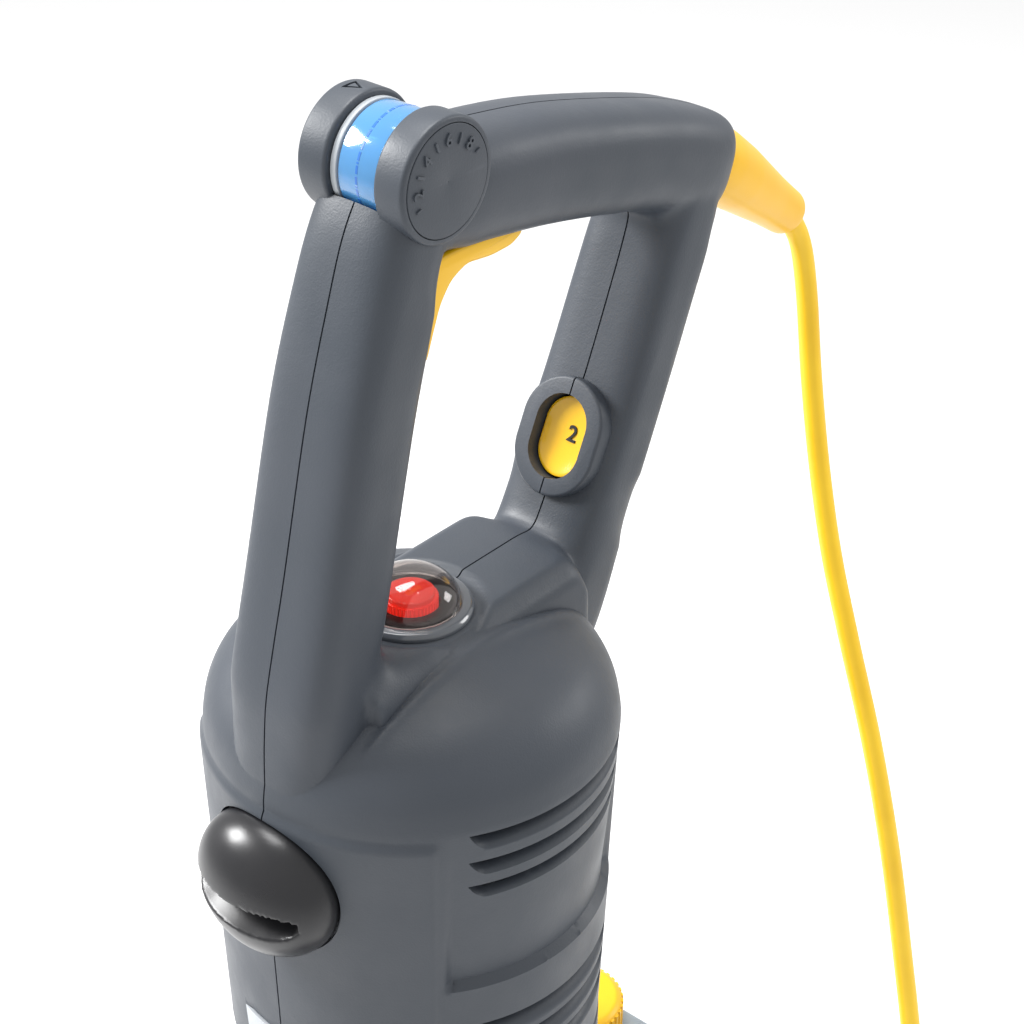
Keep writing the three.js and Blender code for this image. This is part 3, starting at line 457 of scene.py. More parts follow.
def turned(profile: Sequence[Pair], axis: Axis = Axis.Z, at: Sequence[float] = (0, 0, 0),
           segments: int = 72) -> bmesh.types.BMesh:
    """A turned piece.

    Args:
        profile: A closed outline of (radius, height) pairs.
        axis: The axis it is turned about.
        at: Where height 0 lies.
        segments: Facets round the axis.

    Returns:
        The closed mesh.
    """
    bm = bmesh.new()
    ring = [bm.verts.new((max(r, 0.0), 0, h)) for r, h in profile]
    for first, second in zip(ring, ring[1:] + ring[:1]):
        if first.co.x > 1e-6 or second.co.x > 1e-6:
            bm.edges.new((first, second))
    bmesh.ops.spin(bm, geom=bm.verts[:] + bm.edges[:], cent=(0, 0, 0), axis=(0, 0, 1),
                   dvec=(0, 0, 0), angle=math.tau, steps=segments, use_merge=True)
    return tidy(placed(bm, Matrix.Translation(at) @ axis.turn()))


def rod(radius: float, low: float, high: float, axis: Axis = Axis.Z,
        at: Sequence[float] = (0, 0, 0), segments: int = 72, edge: float = 0.0
        ) -> bmesh.types.BMesh:
    """A round bar, or the cutter for a round hole.

    Args:
        radius: Its radius.
        low: Where it starts along its axis.
        high: Where it ends.
        axis: The axis it runs along.
        at: Where its own zero lies.
        segments: Facets round it.
        edge: Softening of its two rims.

    Returns:
        The closed mesh.
    """
    profile: list[Pair] = [(0, low), (radius, low), (radius, high), (0, high)]
    return turned(softened(profile, edge) if edge else profile, axis, at, segments)


def block(low: Sequence[float], high: Sequence[float], edge: float = 0.0,
          segments: int = 3) -> bmesh.types.BMesh:
    """A box between two corners with its edges rounded."""
    bm = bmesh.new()
    bmesh.ops.create_cube(bm, size=1)
    size = Vector(high) - Vector(low)
    place = Matrix.Translation((Vector(low) + Vector(high)) / 2) @ Matrix.Diagonal((*size, 1))
    placed(bm, place)
    if edge:
        bmesh.ops.bevel(bm, geom=bm.edges[:], offset=edge, offset_type="OFFSET",
                        segments=segments, profile=0.5, affect="EDGES", material=-1)
    return bm


def prism(outline: Sequence[Pair], low: float, high: float, axis: Axis = Axis.X,
          edge: float = 0.0, segments: int = 3) -> bmesh.types.BMesh:
    """An outline given a thickness, with its rims rounded.

    Args:
        outline: Points in the plane that follows the axis: (y, z) along X, (z, x) along Y.
        low: Where it starts along the axis.
        high: Where it ends.
        axis: The axis it is extruded along.
        edge: Rounding of the two rims.
        segments: Steps of that rounding.

    Returns:
        The closed mesh.
    """
    bm = bmesh.new()
    face = bm.faces.new([bm.verts.new((a, b, low)) for a, b in outline])
    grown = bmesh.ops.extrude_face_region(bm, geom=[face])
    lifted = [item for item in grown["geom"] if isinstance(item, bmesh.types.BMVert)]
    bmesh.ops.translate(bm, verts=lifted, vec=(0, 0, high - low))
    if edge:
        rims = [e for e in bm.edges if abs(e.verts[0].co.z - e.verts[1].co.z) < 1e-6]
        bmesh.ops.bevel(bm, geom=rims, offset=edge, offset_type="OFFSET", segments=segments,
                        profile=0.5, affect="EDGES", material=-1)
    return tidy(placed(bm, axis.turn()))


def loft(rings: Sequence[Sequence[Vector]], closed_ends: bool = True) -> bmesh.types.BMesh:
    """A skin over rings of points, bridged one to the next."""
    bm = bmesh.new()
    loops: list[list[bmesh.types.BMEdge]] = []
    verts: list[list[bmesh.types.BMVert]] = []
    for ring in rings:
        made = [bm.verts.new(p) for p in ring]
        verts.append(made)
        loops.append([bm.edges.new(pair) for pair in zip(made, made[1:] + made[:1])])
    for first, second in zip(verts, verts[1:]):
        for i in range(len(first)):
            j = (i + 1) % len(first)
            bm.faces.new((first[i], first[j], second[j], second[i]))
    if closed_ends:
        bm.faces.new(verts[0][::-1])
        bm.faces.new(verts[-1])
    bmesh.ops.recalc_face_normals(bm, faces=bm.faces)
    return bm


def oval(centre: Vector, across: Vector, up: Vector, half_w: float, half_h: float,
         square: float = 2.0, count: int = 40) -> list[Vector]:
    """A ring between an ellipse (square 2) and a rounded rectangle (square 4 and more)."""
    ring = []
    for i in range(count):
        c, s = math.cos(math.tau * i / count), math.sin(math.tau * i / count)
        x = math.copysign(abs(c) ** (2 / square), c) * half_w
        y = math.copysign(abs(s) ** (2 / square), s) * half_h
        ring.append(centre + across * x + up * y)
    return ring


def merged(*parts: bmesh.types.BMesh) -> bmesh.types.BMesh:
    """Several meshes in one, left as they lie."""
    whole = bmesh.new()
    for part in parts:
        mesh = bpy.data.meshes.new("part")
        part.to_mesh(mesh)
        part.free()
        whole.from_mesh(mesh)
        bpy.data.meshes.remove(mesh)
    return whole


def as_mesh(bm: bmesh.types.BMesh, name: str = "part") -> bpy.types.Mesh:
    """Turns a bmesh into a mesh and frees it."""
    mesh = bpy.data.meshes.new(name)
    bm.normal_update()
    bm.to_mesh(mesh)
    bm.free()
    return mesh


def bm_of(mesh: bpy.types.Mesh) -> bmesh.types.BMesh:
    """A bmesh with what a mesh holds, and the mesh dropped."""
    bm = bmesh.new()
    bm.from_mesh(mesh)
    bpy.data.meshes.remove(mesh)
    return bm


def in_scene(name: str, data: bpy.types.ID) -> bpy.types.Object:
    """A new object in the scene for a mesh, a curve, a lamp or a camera."""
    made = bpy.data.objects.new(name, data)
    bpy.context.scene.collection.objects.link(made)
    return made


def baked(holder: bpy.types.Object) -> bpy.types.Mesh:
    """A new mesh of an object with its modifiers applied."""
    graph = bpy.context.evaluated_depsgraph_get()
    return bpy.data.meshes.new_from_object(holder.evaluated_get(graph))


class Join(Enum):
    """What a boolean step does."""

    ADD = "UNION"
    CUT = "DIFFERENCE"
    KEEP = "INTERSECT"


Step = tuple[Join, bmesh.types.BMesh]


def adding(*shapes: bmesh.types.BMesh) -> list[Step]:
    """The steps that join every shape, in order."""
    return [(Join.ADD, shape) for shape in shapes]


def cutting(*shapes: bmesh.types.BMesh) -> list[Step]:
    """The steps that cut every shape out, in order."""
    return [(Join.CUT, shape) for shape in shapes]


def carved(base: bpy.types.Mesh, steps: Sequence[Step]) -> bpy.types.Mesh:
    """Joins and cuts a closed mesh.

    Args:
        base: The mesh that is worked on.
        steps: What to do, with the closed mesh to do it with, in order.

    Returns:
        A new mesh with every step applied.
    """
    holder = in_scene("holder", base)
    tools = []
    for action, bm in steps:
        tool = in_scene("tool", as_mesh(bm))
        tools.append(tool)
        step = holder.modifiers.new("step", "BOOLEAN")
        step.operation = action.value
        step.solver = "MANIFOLD"
        step.object = tool
    result = baked(holder)
    for item in (holder, *tools):
        bpy.data.objects.remove(item)
    return result


def remeshed(mesh: bpy.types.Mesh, voxel: float) -> bpy.types.Mesh:
    """One even skin over a closed mesh."""
    holder = in_scene("holder", mesh)
    skin = holder.modifiers.new("skin", "REMESH")
    skin.mode = "VOXEL"
    skin.voxel_size = voxel
    result = baked(holder)
    bpy.data.objects.remove(holder)
    return result


def points_of(mesh: bpy.types.Mesh) -> np.ndarray:
    """The places of a mesh's vertices."""
    flat = np.empty(len(mesh.vertices) * 3)
    mesh.vertices.foreach_get("co", flat)
    return flat.reshape(-1, 3)


def put_points(mesh: bpy.types.Mesh, points: np.ndarray) -> None:
    """Moves a mesh's vertices to the given places."""
    mesh.vertices.foreach_set("co", points.ravel())
    mesh.update()


def relaxed(mesh: bpy.types.Mesh, passes: int, weight: np.ndarray | float = 1.0,
            keep_volume: bool = True) -> None:
    """Evens a mesh out by moving each vertex towards its neighbours.

    Args:
        mesh: The mesh, changed in place.
        passes: How often it is done.
        weight: How much of it each vertex takes, from 0 to 1.
        keep_volume: Pushes back after each pass, so that round shapes don't shrink.
    """
    ends = np.empty(len(mesh.edges) * 2, dtype=np.int64)
    mesh.edges.foreach_get("vertices", ends)
    first, second = ends[::2], ends[1::2]
    points = points_of(mesh)
    count = len(points)
    degree = np.bincount(ends, minlength=count)[:, None]
    share = np.broadcast_to(np.asarray(weight, dtype=float), (count,))[:, None]
    for _ in range(passes):
        for amount in ((0.55, -0.57) if keep_volume else (0.5,)):
            total = np.stack([np.bincount(first, points[second, k], count)
                              + np.bincount(second, points[first, k], count)
                              for k in range(3)], axis=1)
            points = points + share * amount * (total / degree - points)
    put_points(mesh, points)


def soft_step(values: np.ndarray, start: float, end: float) -> np.ndarray:
    """Rises smoothly from 0 at start to 1 at end."""
    t = np.clip((values - start) / (end - start), 0, 1)
    return t * t * (3 - 2 * t)


def add_piece(name: str, shape: bmesh.types.BMesh | bpy.types.Mesh, body: str, finish: Finish,
              replaces: Iterable[str] = (), crease: float = 32.0) -> bpy.types.Object:
    """Puts a finished piece in the scene.

    Args:
        name: The piece's name.
        shape: Its mesh in millimetres.
        body: The frame's body that it rides on, or "" for none.
        finish: Its finish.
        replaces: The CAD nodes that it stands for.
        crease: The angle in degrees past which an edge is shaded sharp.

    Returns:
        The object.
    """
    mesh = shape if isinstance(shape, bpy.types.Mesh) else as_mesh(shape)
    mesh.name = name
    mesh.transform(Matrix.Scale(MM, 4))
    mesh.materials.clear()
    mesh.materials.append(finish.material())
    mesh.shade_smooth()
    mesh.set_sharp_from_angle(angle=math.radians(crease))
    made = in_scene(name, mesh)
    if body:
        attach(made, body)
    if replaces:
        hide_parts(*replaces)
    LOG.info("%s: %d faces on %s", name, len(mesh.polygons), body or "two bodies")
    return made


# ---------------------------------------------------------------------------- studio
@dataclass
class Studio:
    """The camera, the soft lights and the pale floor. Places in metres."""

    camera_at: Triple = (0.4935, -0.5349, 1.4628)
    looks_at: Triple = (-0.0016, 0.0475, 0.9801)
    roll: float = math.radians(0.53)
    lens: float = 82.2
    shift: Pair = (0.0039, 0.0081)
    floor_size: float = 14.0

    def camera(self) -> None:
        """Sets up the camera."""
        lens = bpy.data.cameras.new("camera")
        lens.lens = self.lens
        lens.sensor_width = 36.0
        lens.shift_x, lens.shift_y = self.shift
        lens.clip_start = 0.02
        made = in_scene("camera", lens)
        heading = Vector(self.looks_at) - Vector(self.camera_at)
        turn = heading.to_track_quat("-Z", "Y") @ Quaternion((0, 0, 1), self.roll)
        made.matrix_world = Matrix.Translation(self.camera_at) @ turn.to_matrix().to_4x4()
        bpy.context.scene.camera = made

    def floor(self) -> None:
        """A large plain floor, just under the wheels."""
        bm = bmesh.new()
        bmesh.ops.create_grid(bm, x_segments=2, y_segments=2, size=self.floor_size / 2)
        made = in_scene("studio_floor", as_mesh(bm))
        paint = bpy.data.materials.new("studio_floor")
        paint.use_nodes = True
        shader = paint.node_tree.nodes["Principled BSDF"]
        shader.inputs["Base Color"].default_value = (0.93, 0.93, 0.93, 1)
        shader.inputs["Roughness"].default_value = 0.9
        made.data.materials.append(paint)

    def light(self, name: str, at: Triple, aim: Triple, size: float, power: float,
              tint: Triple = (1.0, 1.0, 1.0)) -> None:
        """A square soft light.

        Args:
            name: Its name.
            at: Where it hangs.
            aim: What it points at.
            size: Its side.
            power: Its power in watts.
            tint: Its colour.
        """
        lamp = bpy.data.lights.new(name, "AREA")
        lamp.size = size
        lamp.energy = power
        lamp.color = tint
        made = in_scene(name, lamp)
        turn = (Vector(aim) - Vector(at)).to_track_quat("-Z", "Y")
        made.matrix_world = Matrix.Translation(at) @ turn.to_matrix().to_4x4()

    def build(self) -> None:
        """Makes the whole studio."""
        self.camera()
        self.floor()
        head = (0.0, 0.0, 1.0)
        self.light("key_light", (-1.9, -1.0, 2.3), head, 0.9, 92)
        self.light("top_light", (-0.4, 0.2, 3.0), head, 1.0, 40)
        self.light("rim_light", (1.2, 2.1, 1.9), head, 0.8, 14)
        world = bpy.data.worlds.new("studio")
        world.use_nodes = True
        world.node_tree.nodes["Background"].inputs["Color"].default_value = (1, 1, 1, 1)
        world.node_tree.nodes["Background"].inputs["Strength"].default_value = 0.8
        bpy.context.scene.world = world
        bpy.context.scene.view_settings.view_transform = "Standard"


# ---------------------------------------------------------------------------- the cord
# The cord's route in metres: out of the grip, down behind the machine, to the floor.
CORD_ROUTE: list[Triple] = [
    (0, 0.224, 1.0495), (0.001, 0.2345, 1.033), (0.004, 0.2385, 1.008), (0.011, 0.237, 0.97),
    (0.021, 0.234, 0.93), (0.033, 0.2315, 0.89), (0.048, 0.2295, 0.85), (0.066, 0.229, 0.8),
    (0.082, 0.229, 0.745), (0.095, 0.229, 0.69), (0.106, 0.229, 0.64), (0.114, 0.2295, 0.59),
    (0.119, 0.23, 0.535), (0.123, 0.2305, 0.475), (0.126, 0.231, 0.415), (0.128, 0.2315, 0.355),
    (0.129, 0.232, 0.295), (0.13, 0.232, 0.235), (0.13, 0.232, 0.18), (0.1296, 0.2324, 0.13),
    (0.1292, 0.235, 0.088), (0.1288, 0.243, 0.05), (0.1284, 0.255, 0.026),
    (0.128, 0.272, 0.011),
]


@dataclass
class PowerCord:
    """Ten metres of yellow cord, its coil, its strain relief and its plug. Millimetres."""

    length: float = 10000.0
    diameter: float = 9.5
    coil_at: Triple = (36.0, 322.0, 0.0)
    coil_outer: float = 92.0
    coil_inner: float = 57.2
    layers: int = 5
    layer_rise: float = 9.75
    rise_turn: float = 0.14
    relief_start: Triple = (0.0, 176.0, 1085.0)
    relief_out: Triple = (0.0, 48.0, -35.5)
    relief_length: float = 58.0
    sides: int = 12
    plug_z: float = 66.8
    exit_run: float = 346.0

    def coil_line(self, turns: float) -> list[Vector]:
        """The coil's centreline: flat spirals, inwards and outwards by turns.

        Args:
            turns: Turns in each layer.

        Returns:
            Its points, 24 to a turn.
        """
        centre = Vector(self.coil_at)
        steps = max(12, round(24 * turns))
        line = []
        for layer in range(self.layers):
            inward = layer % 2 == 0
            for k in range(1 if layer else 0, steps + 1):
                share = k / steps
                reach = self.coil_outer - self.coil_inner
                radius = (self.coil_outer - reach * share if inward
                          else self.coil_inner + reach * share)
                lift = min(1.0, share * turns / self.rise_turn) if layer else 1.0
                height = 5.0 + self.layer_rise * (layer - 1 + lift)
                turn = math.tau * turns * (layer + share)
                line.append(centre + Vector((math.cos(turn) * radius, math.sin(turn) * radius,
                                             height)))
        return line

    def tail(self, start: Vector, heading: float) -> list[Vector]:
        """The last stretch, from the coil's inner end up on to it and into the plug.

        Args:
            start: The coil's last point.
            heading: Its angle round the coil, in turns.

        Returns:
            The stretch's points.
        """
        centre = Vector(self.coil_at)
        plug_x = centre.x - (self.coil_outer + self.coil_inner) / 2
        first = heading % 1.0
        last = 0.44
        while last - first < 0.5:
            last += 1.0
        line = []
        steps = 22
        goal = abs(plug_x - centre.x) + 3.5
        for k in range(1, steps + 1):
            t = k / steps
            ease = t * t * (3 - 2 * t)
            radius = self.coil_inner + (goal - self.coil_inner) * ease
            lift = min(1.0, t / 0.3)
            climb = self.plug_z - start.z - self.layer_rise
            height = start.z + self.layer_rise * lift + climb * max(0.0, (t - 0.3) / 0.7)
            turn = math.tau * (first + (last - first) * t)
            line.append(centre + Vector((math.cos(turn) * radius, math.sin(turn) * radius,
                                         height)))
        line[-1].z = self.plug_z
        return [*line, Vector((plug_x, self.exit_run, self.plug_z))]

    def centreline(self) -> list[Vector]:
        """The whole cord, with as many turns in the coil as its length needs."""
        hanging = flowing([Vector(p) / MM for p in CORD_ROUTE]
                          + [Vector((self.coil_at[0] + self.coil_outer, self.coil_at[1] - 24, 5.6)),
                             Vector((self.coil_at[0] + self.coil_outer, self.coil_at[1], 5.0))], 5)
        low, high = 3.0, 4.0
        for _ in range(24):
            turns = (low + high) / 2
            coil = self.coil_line(turns)
            line = hanging + coil[1:] + self.tail(coil[-1], turns * self.layers)
            run = sum((b - a).length for a, b in zip(line, line[1:]))
            low, high = (turns, high) if run < self.length else (low, turns)
        return line

    def tube(self, line: Sequence[Vector]) -> bmesh.types.BMesh:
        """A round skin along a line, with rings that don't twist."""
        rings = []
        side = Vector((1, 0, 0))
        for i, point in enumerate(line):
            ahead = (line[min(i + 1, len(line) - 1)] - line[max(i - 1, 0)]).normalized()
            side = (side - ahead * side.dot(ahead)).normalized()
            rings.append(oval(point, side, ahead.cross(side), self.diameter / 2,
                              self.diameter / 2, 2.0, self.sides))
        return loft(rings)

    def relief_frame(self) -> Matrix:
        """Where the strain relief lies, with z out of the grip."""
        out = Vector(self.relief_out).normalized()
        turn = out.to_track_quat("Z", "X").to_matrix().to_4x4()
        return Matrix.Translation(self.relief_start) @ turn

    def relief(self) -> bpy.types.Object:
        """The tapered strain relief."""
        length = self.relief_length
        profile = rounded([(0, -26), (9, -26), (9, -21), (14.6, -21), (14.9, -8), (14.2, 8),
                           (12.6, 24), (11.2, 38), (10.4, 49), (9.9, length), (0, length)], 2.0)
        shape = placed(turned(profile, segments=64), self.relief_frame())
        return add_piece("strain_relief_boot", shape, "column", YELLOW, ["strain_relief"])

    def plug(self) -> list[bpy.types.Object]:
        """A moulded two-pin plug with a ribbed grip, lying on the coil, and its pins."""
        low, high = corner("plug"), corner("plug", True)
        centre = Vector(((low.x + high.x) / 2, 0, (low.z + high.z) / 2))
        half = (high.x - low.x) / 2
        front, end = low.y + 19, high.y
        body = [(0, front), (half, front), (half, front + 20), (half - 2.5, front + 27),
                (11, front + 34), (8.2, front + 38)]
        ribs = [(r, front + 38 + 3 * k + s) for k in range(4)
                for r, s in ((8.2 - k * 0.4, 0), (8.2 - k * 0.4, 1.8), (6.6, 2.0), (6.6, 2.8))]
        shape = turned(rounded([*body, *ribs, (6.2, end - 2), (5.3, end), (0, end)], 0.9, 3),
                       Axis.Y, centre)
        flats = block((-half - 1, front + 3, half * 0.62), (half + 1, front + 24, half + 2))
        bmesh.ops.translate(flats, verts=flats.verts, vec=centre)
        mesh = carved(as_mesh(shape), cutting(flats))
        made = add_piece("plug_body", mesh, "deck", BLACK, ["plug"])
        pins = [turned(rounded([(0, low.y), (2.4, low.y), (2.4, front + 1), (0, front + 1)], 1.2),
                       Axis.Y, centre + Vector((side * 9.5, 0, 0)), 24) for side in (-1, 1)]
        return [made, add_piece("plug_pins", merged(*pins), "deck", STEEL)]

    def build(self) -> None:
        line = self.centreline()
        cord = add_piece("power_cord", self.tube(line), "", CORD,
                         ["power_cord_upper", "power_cord_lower", "cord_coil"], crease=80)
        relief = self.relief()
        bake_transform(cord)
        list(self.plug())


# ---------------------------------------------------------------------------- the head
@dataclass
class LoopHandle:
    """The legs and the grip, as lofts.

    Each station is (y, height, half depth, half width, squareness, lean). Heights are above the
    deck, and the lean in degrees turns the section square to the bar.
    """

    front_leg: Sequence[tuple[float, ...]] = (
        (-60, -52, 28.6, 27.4, 3.0, 0), (-62.5, -30, 25.4, 27, 3.2, 4),
        (-65, -8, 20.6, 26.4, 3.5, 10),
        (-62.2, 14, 18.2, 25.2, 3.8, 13), (-56.4, 38.4, 17.6, 24.8, 4, 15),
        (-42.4, 96, 17.6, 24, 4, 15), (-30.6, 133, 17.6, 23.4, 3.6, 18),
        (-23, 155, 17, 22.6, 3.2, 19), (-16, 172, 14, 21.5, 3, 20))
    rear_leg: Sequence[tuple[float, ...]] = (
        (50, -62, 15, 24, 3.4, 22), (64, -34, 18.5, 25, 3.6, 25), (82, 4.5, 15.6, 24.6, 4, 25.4),
        (102.2, 44.5, 15, 23.6, 4, 25.4), (120.5, 85.2, 15.4, 22.8, 4, 25.4),
        (129, 104, 16.5, 22.4, 3.6, 25.4), (136, 122, 17, 21.5, 3.2, 25.4))
    grip: Sequence[tuple[float, ...]] = (
        (-14, 166, 20, 19.5, 2.6, 98), (5, 163.4, 21.6, 21.5, 2.6, 98),
        (22, 161.6, 21.6, 22.3, 2.7, 99), (53, 156.4, 21.4, 22.6, 2.8, 104),
        (90, 147.4, 20.8, 22.8, 2.9, 106), (122, 137.6, 21, 22.8, 3, 108),
        (139, 130.6, 21.2, 22.4, 3.1, 110), (150, 126.4, 20.6, 20.4, 3, 111),
        (157.5, 123.4, 18.6, 16.4, 2.8, 111), (162.5, 121.4, 14.6, 10.8, 2.5, 111),
        (165, 120.4, 9.4, 5.6, 2.2, 111))

    def bar(self, stations: Sequence[tuple[float, ...]], inset: float = 0.0) -> bmesh.types.BMesh:
        """One bar of the handle.

        Args:
            stations: Its sections.
            inset: How far its skin moves in, for the hollow inside.

        Returns:
            The closed bar.
        """
        rings = []
        for y, height, deep, wide, square, lean in flowing(stations, 6):
            tilt = math.radians(lean)
            across = Vector((0, math.cos(tilt), -math.sin(tilt)))
            rings.append(oval(Vector((0, y, DECK_Z + height)), Vector((1, 0, 0)), across,
                              max(wide - inset, 1.0), max(deep - inset, 1.0), square, 56))
        return loft(rings)

    def bars(self, inset: float = 0.0) -> list[bmesh.types.BMesh]:
        """The front leg, the rear leg and the grip."""
        return [self.bar(line, inset) for line in (self.front_leg, self.rear_leg, self.grip)]


@dataclass
class HeadShell:
    """The clamshell: a crowned drum with louvred cheeks, the deck and the loop handle."""

    crown: Sequence[Pair] = ((0, -2.2), (14, -2.4), (28, -3.6), (41, -7.4), (52, -11.4),
                             (61.5, -15.6), (69, -21), (75, -28.5), (78.8, -37), (80.6, -47))
    foot: float = -196.0
    waist_r: float = 76.0
    top_r: float = 82.5
    roundness: float = 0.985
    deck_half: float = 25.5
    wall: float = 3.0
    voxel: float = 1.65
    seam: float = 0.34
    louvres: Sequence[float] = (-48.5, -61.6, -73.6, -144, -156.6, -169)
    louvre_tip: float = 57.0
    panel_edge: float = 50.0
    panel_top: float = -52.0
    panel_foot: float = -124.0

    def radius(self, height: float | np.ndarray) -> float | np.ndarray:
        """The column's radius at a height below the deck, on its straight taper."""
        return self.top_r + (self.top_r - self.waist_r) * height / 188.0

    def round_wall(self, profile: Sequence[Pair], segments: int) -> bmesh.types.BMesh:
        """A shape turned about the column's axis and drawn in a little from front to back."""
        place = Matrix.Translation((0, COLUMN_Y, 0)) @ Matrix.Diagonal((1, self.roundness, 1, 1))
        return placed(turned(profile, at=(0, 0, DECK_Z), segments=segments), place)

    def drum(self, inset: float = 0.0) -> bmesh.types.BMesh:
        """The crowned drum, or its hollow when it is inset."""
        line = [(p.x, p.y) for p in flowing([Vector(p) for p in self.crown], 5)]
        line += [(self.radius(h), h) for h in range(-60, int(self.foot), -12)]
        line.append((self.radius(self.foot), self.foot))
        low = self.foot - (6 if inset else 0)
        outline = [(max(r - inset, 0.0), h - inset) for r, h in line[:-1]]
        outline += [(line[-1][0] - inset, low), (0.0, low)]
        return self.round_wall(outline, 160)

    def deck(self) -> bmesh.types.BMesh:
        """The flat spine between the legs, with sides that flare towards the crown."""
        half = self.deck_half
        flank = [(half - 1.6, 0), (half + 1.2, -2.2), (half + 5.4, -6), (half + 7.2, -20),
                 (half + 8, -46)]
        outline = rounded([(-x, z) for x, z in flank[::-1]] + flank, 2.4, 4)
        return prism([(DECK_Z + z, x) for x, z in outline], -60, 57, Axis.Y)

    def blank(self) -> bpy.types.Mesh:
        """The head before anything is cut out of it: a smooth handle on a smooth crown.

        The two skins are made apart, so that they meet in a crisp crease.
        """
        loop = carved(as_mesh(self.deck()), adding(*LoopHandle().bars()))
        loop = remeshed(loop, self.voxel)
        relaxed(loop, 12)
        self.blend_roots(loop)
        self.dish(loop)
        crown = remeshed(as_mesh(self.drum()), self.voxel)
        relaxed(crown, 6)
        self.shape_panels(crown)
        return carved(crown, adding(bm_of(loop)))

    def dish(self, skin: bpy.types.Mesh) -> None:
        """Sinks the deck round the dome."""
        points = points_of(skin)
        height = points[:, 2] - DECK_Z
        from_dome = np.hypot(points[:, 0], points[:, 1] - COLUMN_Y)
        on_deck = soft_step(height, -6, -2) * (1 - soft_step(height, 3, 6))
        points[:, 2] -= 2.0 * on_deck * (1 - soft_step(from_dome, 26.5, 29.5))
        put_points(skin, points)

    def blend_roots(self, skin: bpy.types.Mesh) -> None:
        """Softens the corners where the legs meet the deck, the drum and the grip."""
        points = points_of(skin)
        roots = ((-44, 2, 18), (-84, -30, 26), (66, 2, 20), (92, 2, 16), (-8, 142, 16),
                 (104, 118, 20), (150, 100, 12), (-20, 178, 12))
        weight = np.zeros(len(points))
        for y, height, reach in roots:
            away = np.hypot(points[:, 1] - y, points[:, 2] - DECK_Z - height)
            weight = np.maximum(weight, 1 - soft_step(away, reach * 0.45, reach))
        relaxed(skin, 46, weight * (np.abs(points[:, 0]) < 40), keep_volume=False)

    def shape_panels(self, skin: bpy.types.Mesh) -> None:
        """Raises the front panel and sinks the vent panels."""
        points = points_of(skin)
        x, y, height = points[:, 0], points[:, 1] - COLUMN_Y, points[:, 2] - DECK_Z
        radius = np.hypot(x, y / self.roundness)
        off_wall = np.abs(radius - self.radius(height))
        on_wall = soft_step(-height, 30, 44) * (1 - soft_step(off_wall, 2, 5))
        angle = np.degrees(np.arctan2(np.abs(x), -y))
        front = (1 - soft_step(angle, self.panel_edge - 2.6, self.panel_edge))
        raised = 1.5 * front * soft_step(-height, -self.panel_top - 2, -self.panel_top + 1.5)
        cheek = soft_step(angle, self.panel_edge, self.panel_edge + 3.5)
        cheek *= 1 - soft_step(angle, 128, 132)
        depth = np.clip((-height - 46) / 70, 0, 1) * 3.4
        sunk = depth * cheek * (1 - soft_step(-height, -self.panel_foot - 1.8, -self.panel_foot))
        move = (raised - sunk) * on_wall / np.maximum(radius, 1.0)
        points[:, 0] += x * move
        points[:, 1] += y * move
        from_flank = (np.abs(x) - self.deck_half - 8.2) / 2.0
        points[:, 2] += 1.1 * np.exp(-from_flank ** 2) * soft_step(-height, 2, 5) \
            * (1 - soft_step(-height, 18, 26)) * (radius < 72)
        put_points(skin, points)

    def louvre(self, height: float, side: int) -> bmesh.types.BMesh:
        """One slot of a cheek: flat above, with a rounded lip below and pointed ends.

        Args:
            height: Its upper edge, from the deck.
            side: 1 for the right cheek and -1 for the left one.

        Returns:
            The closed cutter.
        """
        outer = self.radius(height)
        section = [(4.0, 0.4), (-9.0, -0.6), (-9.0, -4.8), (-5.0, -5.3), (-2.7, -6.2),
                   (-1.2, -7.6), (-0.2, -9.2), (4.0, -9.8)]
        rings = []
        first, last = self.louvre_tip, 123.0
        for k in range(45):
            angle = first + (last - first) * k / 44
            near = min(angle - first, last - angle)
            open_share = 0.05 + 0.95 * (1 - (1 - min(near / 6.0, 1.0)) ** 2)
            turn = math.radians(angle)
            ring = []
            for out, drop in section:
                reach = outer + out
                ring.append(Vector((side * math.sin(turn) * reach,
                                    COLUMN_Y - math.cos(turn) * reach * self.roundness,
                                    DECK_Z + height + drop * open_share)))
            rings.append(ring)
        return loft(rings)

    def window_frame(self) -> Matrix:
        """Where the rocker window lies, with z out of the leg."""
        lean = math.radians(25.4)
        out = Vector((0, -math.cos(lean), math.sin(lean)))
        along = Vector((0, math.sin(lean), math.cos(lean)))
        spot = Vector((0, 72 + (32.5 - 18) * math.tan(lean), DECK_Z + 32.5))
        turn = Matrix((Vector((1, 0, 0)), along, out)).transposed().to_4x4()
        return Matrix.Translation(spot) @ turn

    def stadium(self, half_w: float, half_l: float, low: float, high: float,
                edge: float = 0.0) -> bmesh.types.BMesh:
        """A stadium-shaped plug on the window's frame."""
        side = half_l - half_w
        outline = [(math.cos(a) * half_w, math.sin(a) * half_w + (side if a < math.pi else -side))
                   for a in (math.tau * (k + 0.5) / 56 for k in range(56))]
        shape = prism(outline, low, high, Axis.Z, edge, 4)
        return placed(shape, self.window_frame())

    def boss(self, side: int) -> bmesh.types.BMesh:
        """One of the two round bosses that hold the dial."""
        inner, outer = side * 10.8, side * 23.7
        profile = rounded([(0, inner), (22.2, inner), (22.2, outer), (0, outer)], 1.7, 5)
        return turned(profile, Axis.X, DIAL_LINE, 128)

    def round_cut(self, radius: float, low: float, high: float) -> bmesh.types.BMesh:
        """A cylinder on the dial's axis."""
        return rod(radius, low, high, Axis.X, DIAL_LINE, 96)

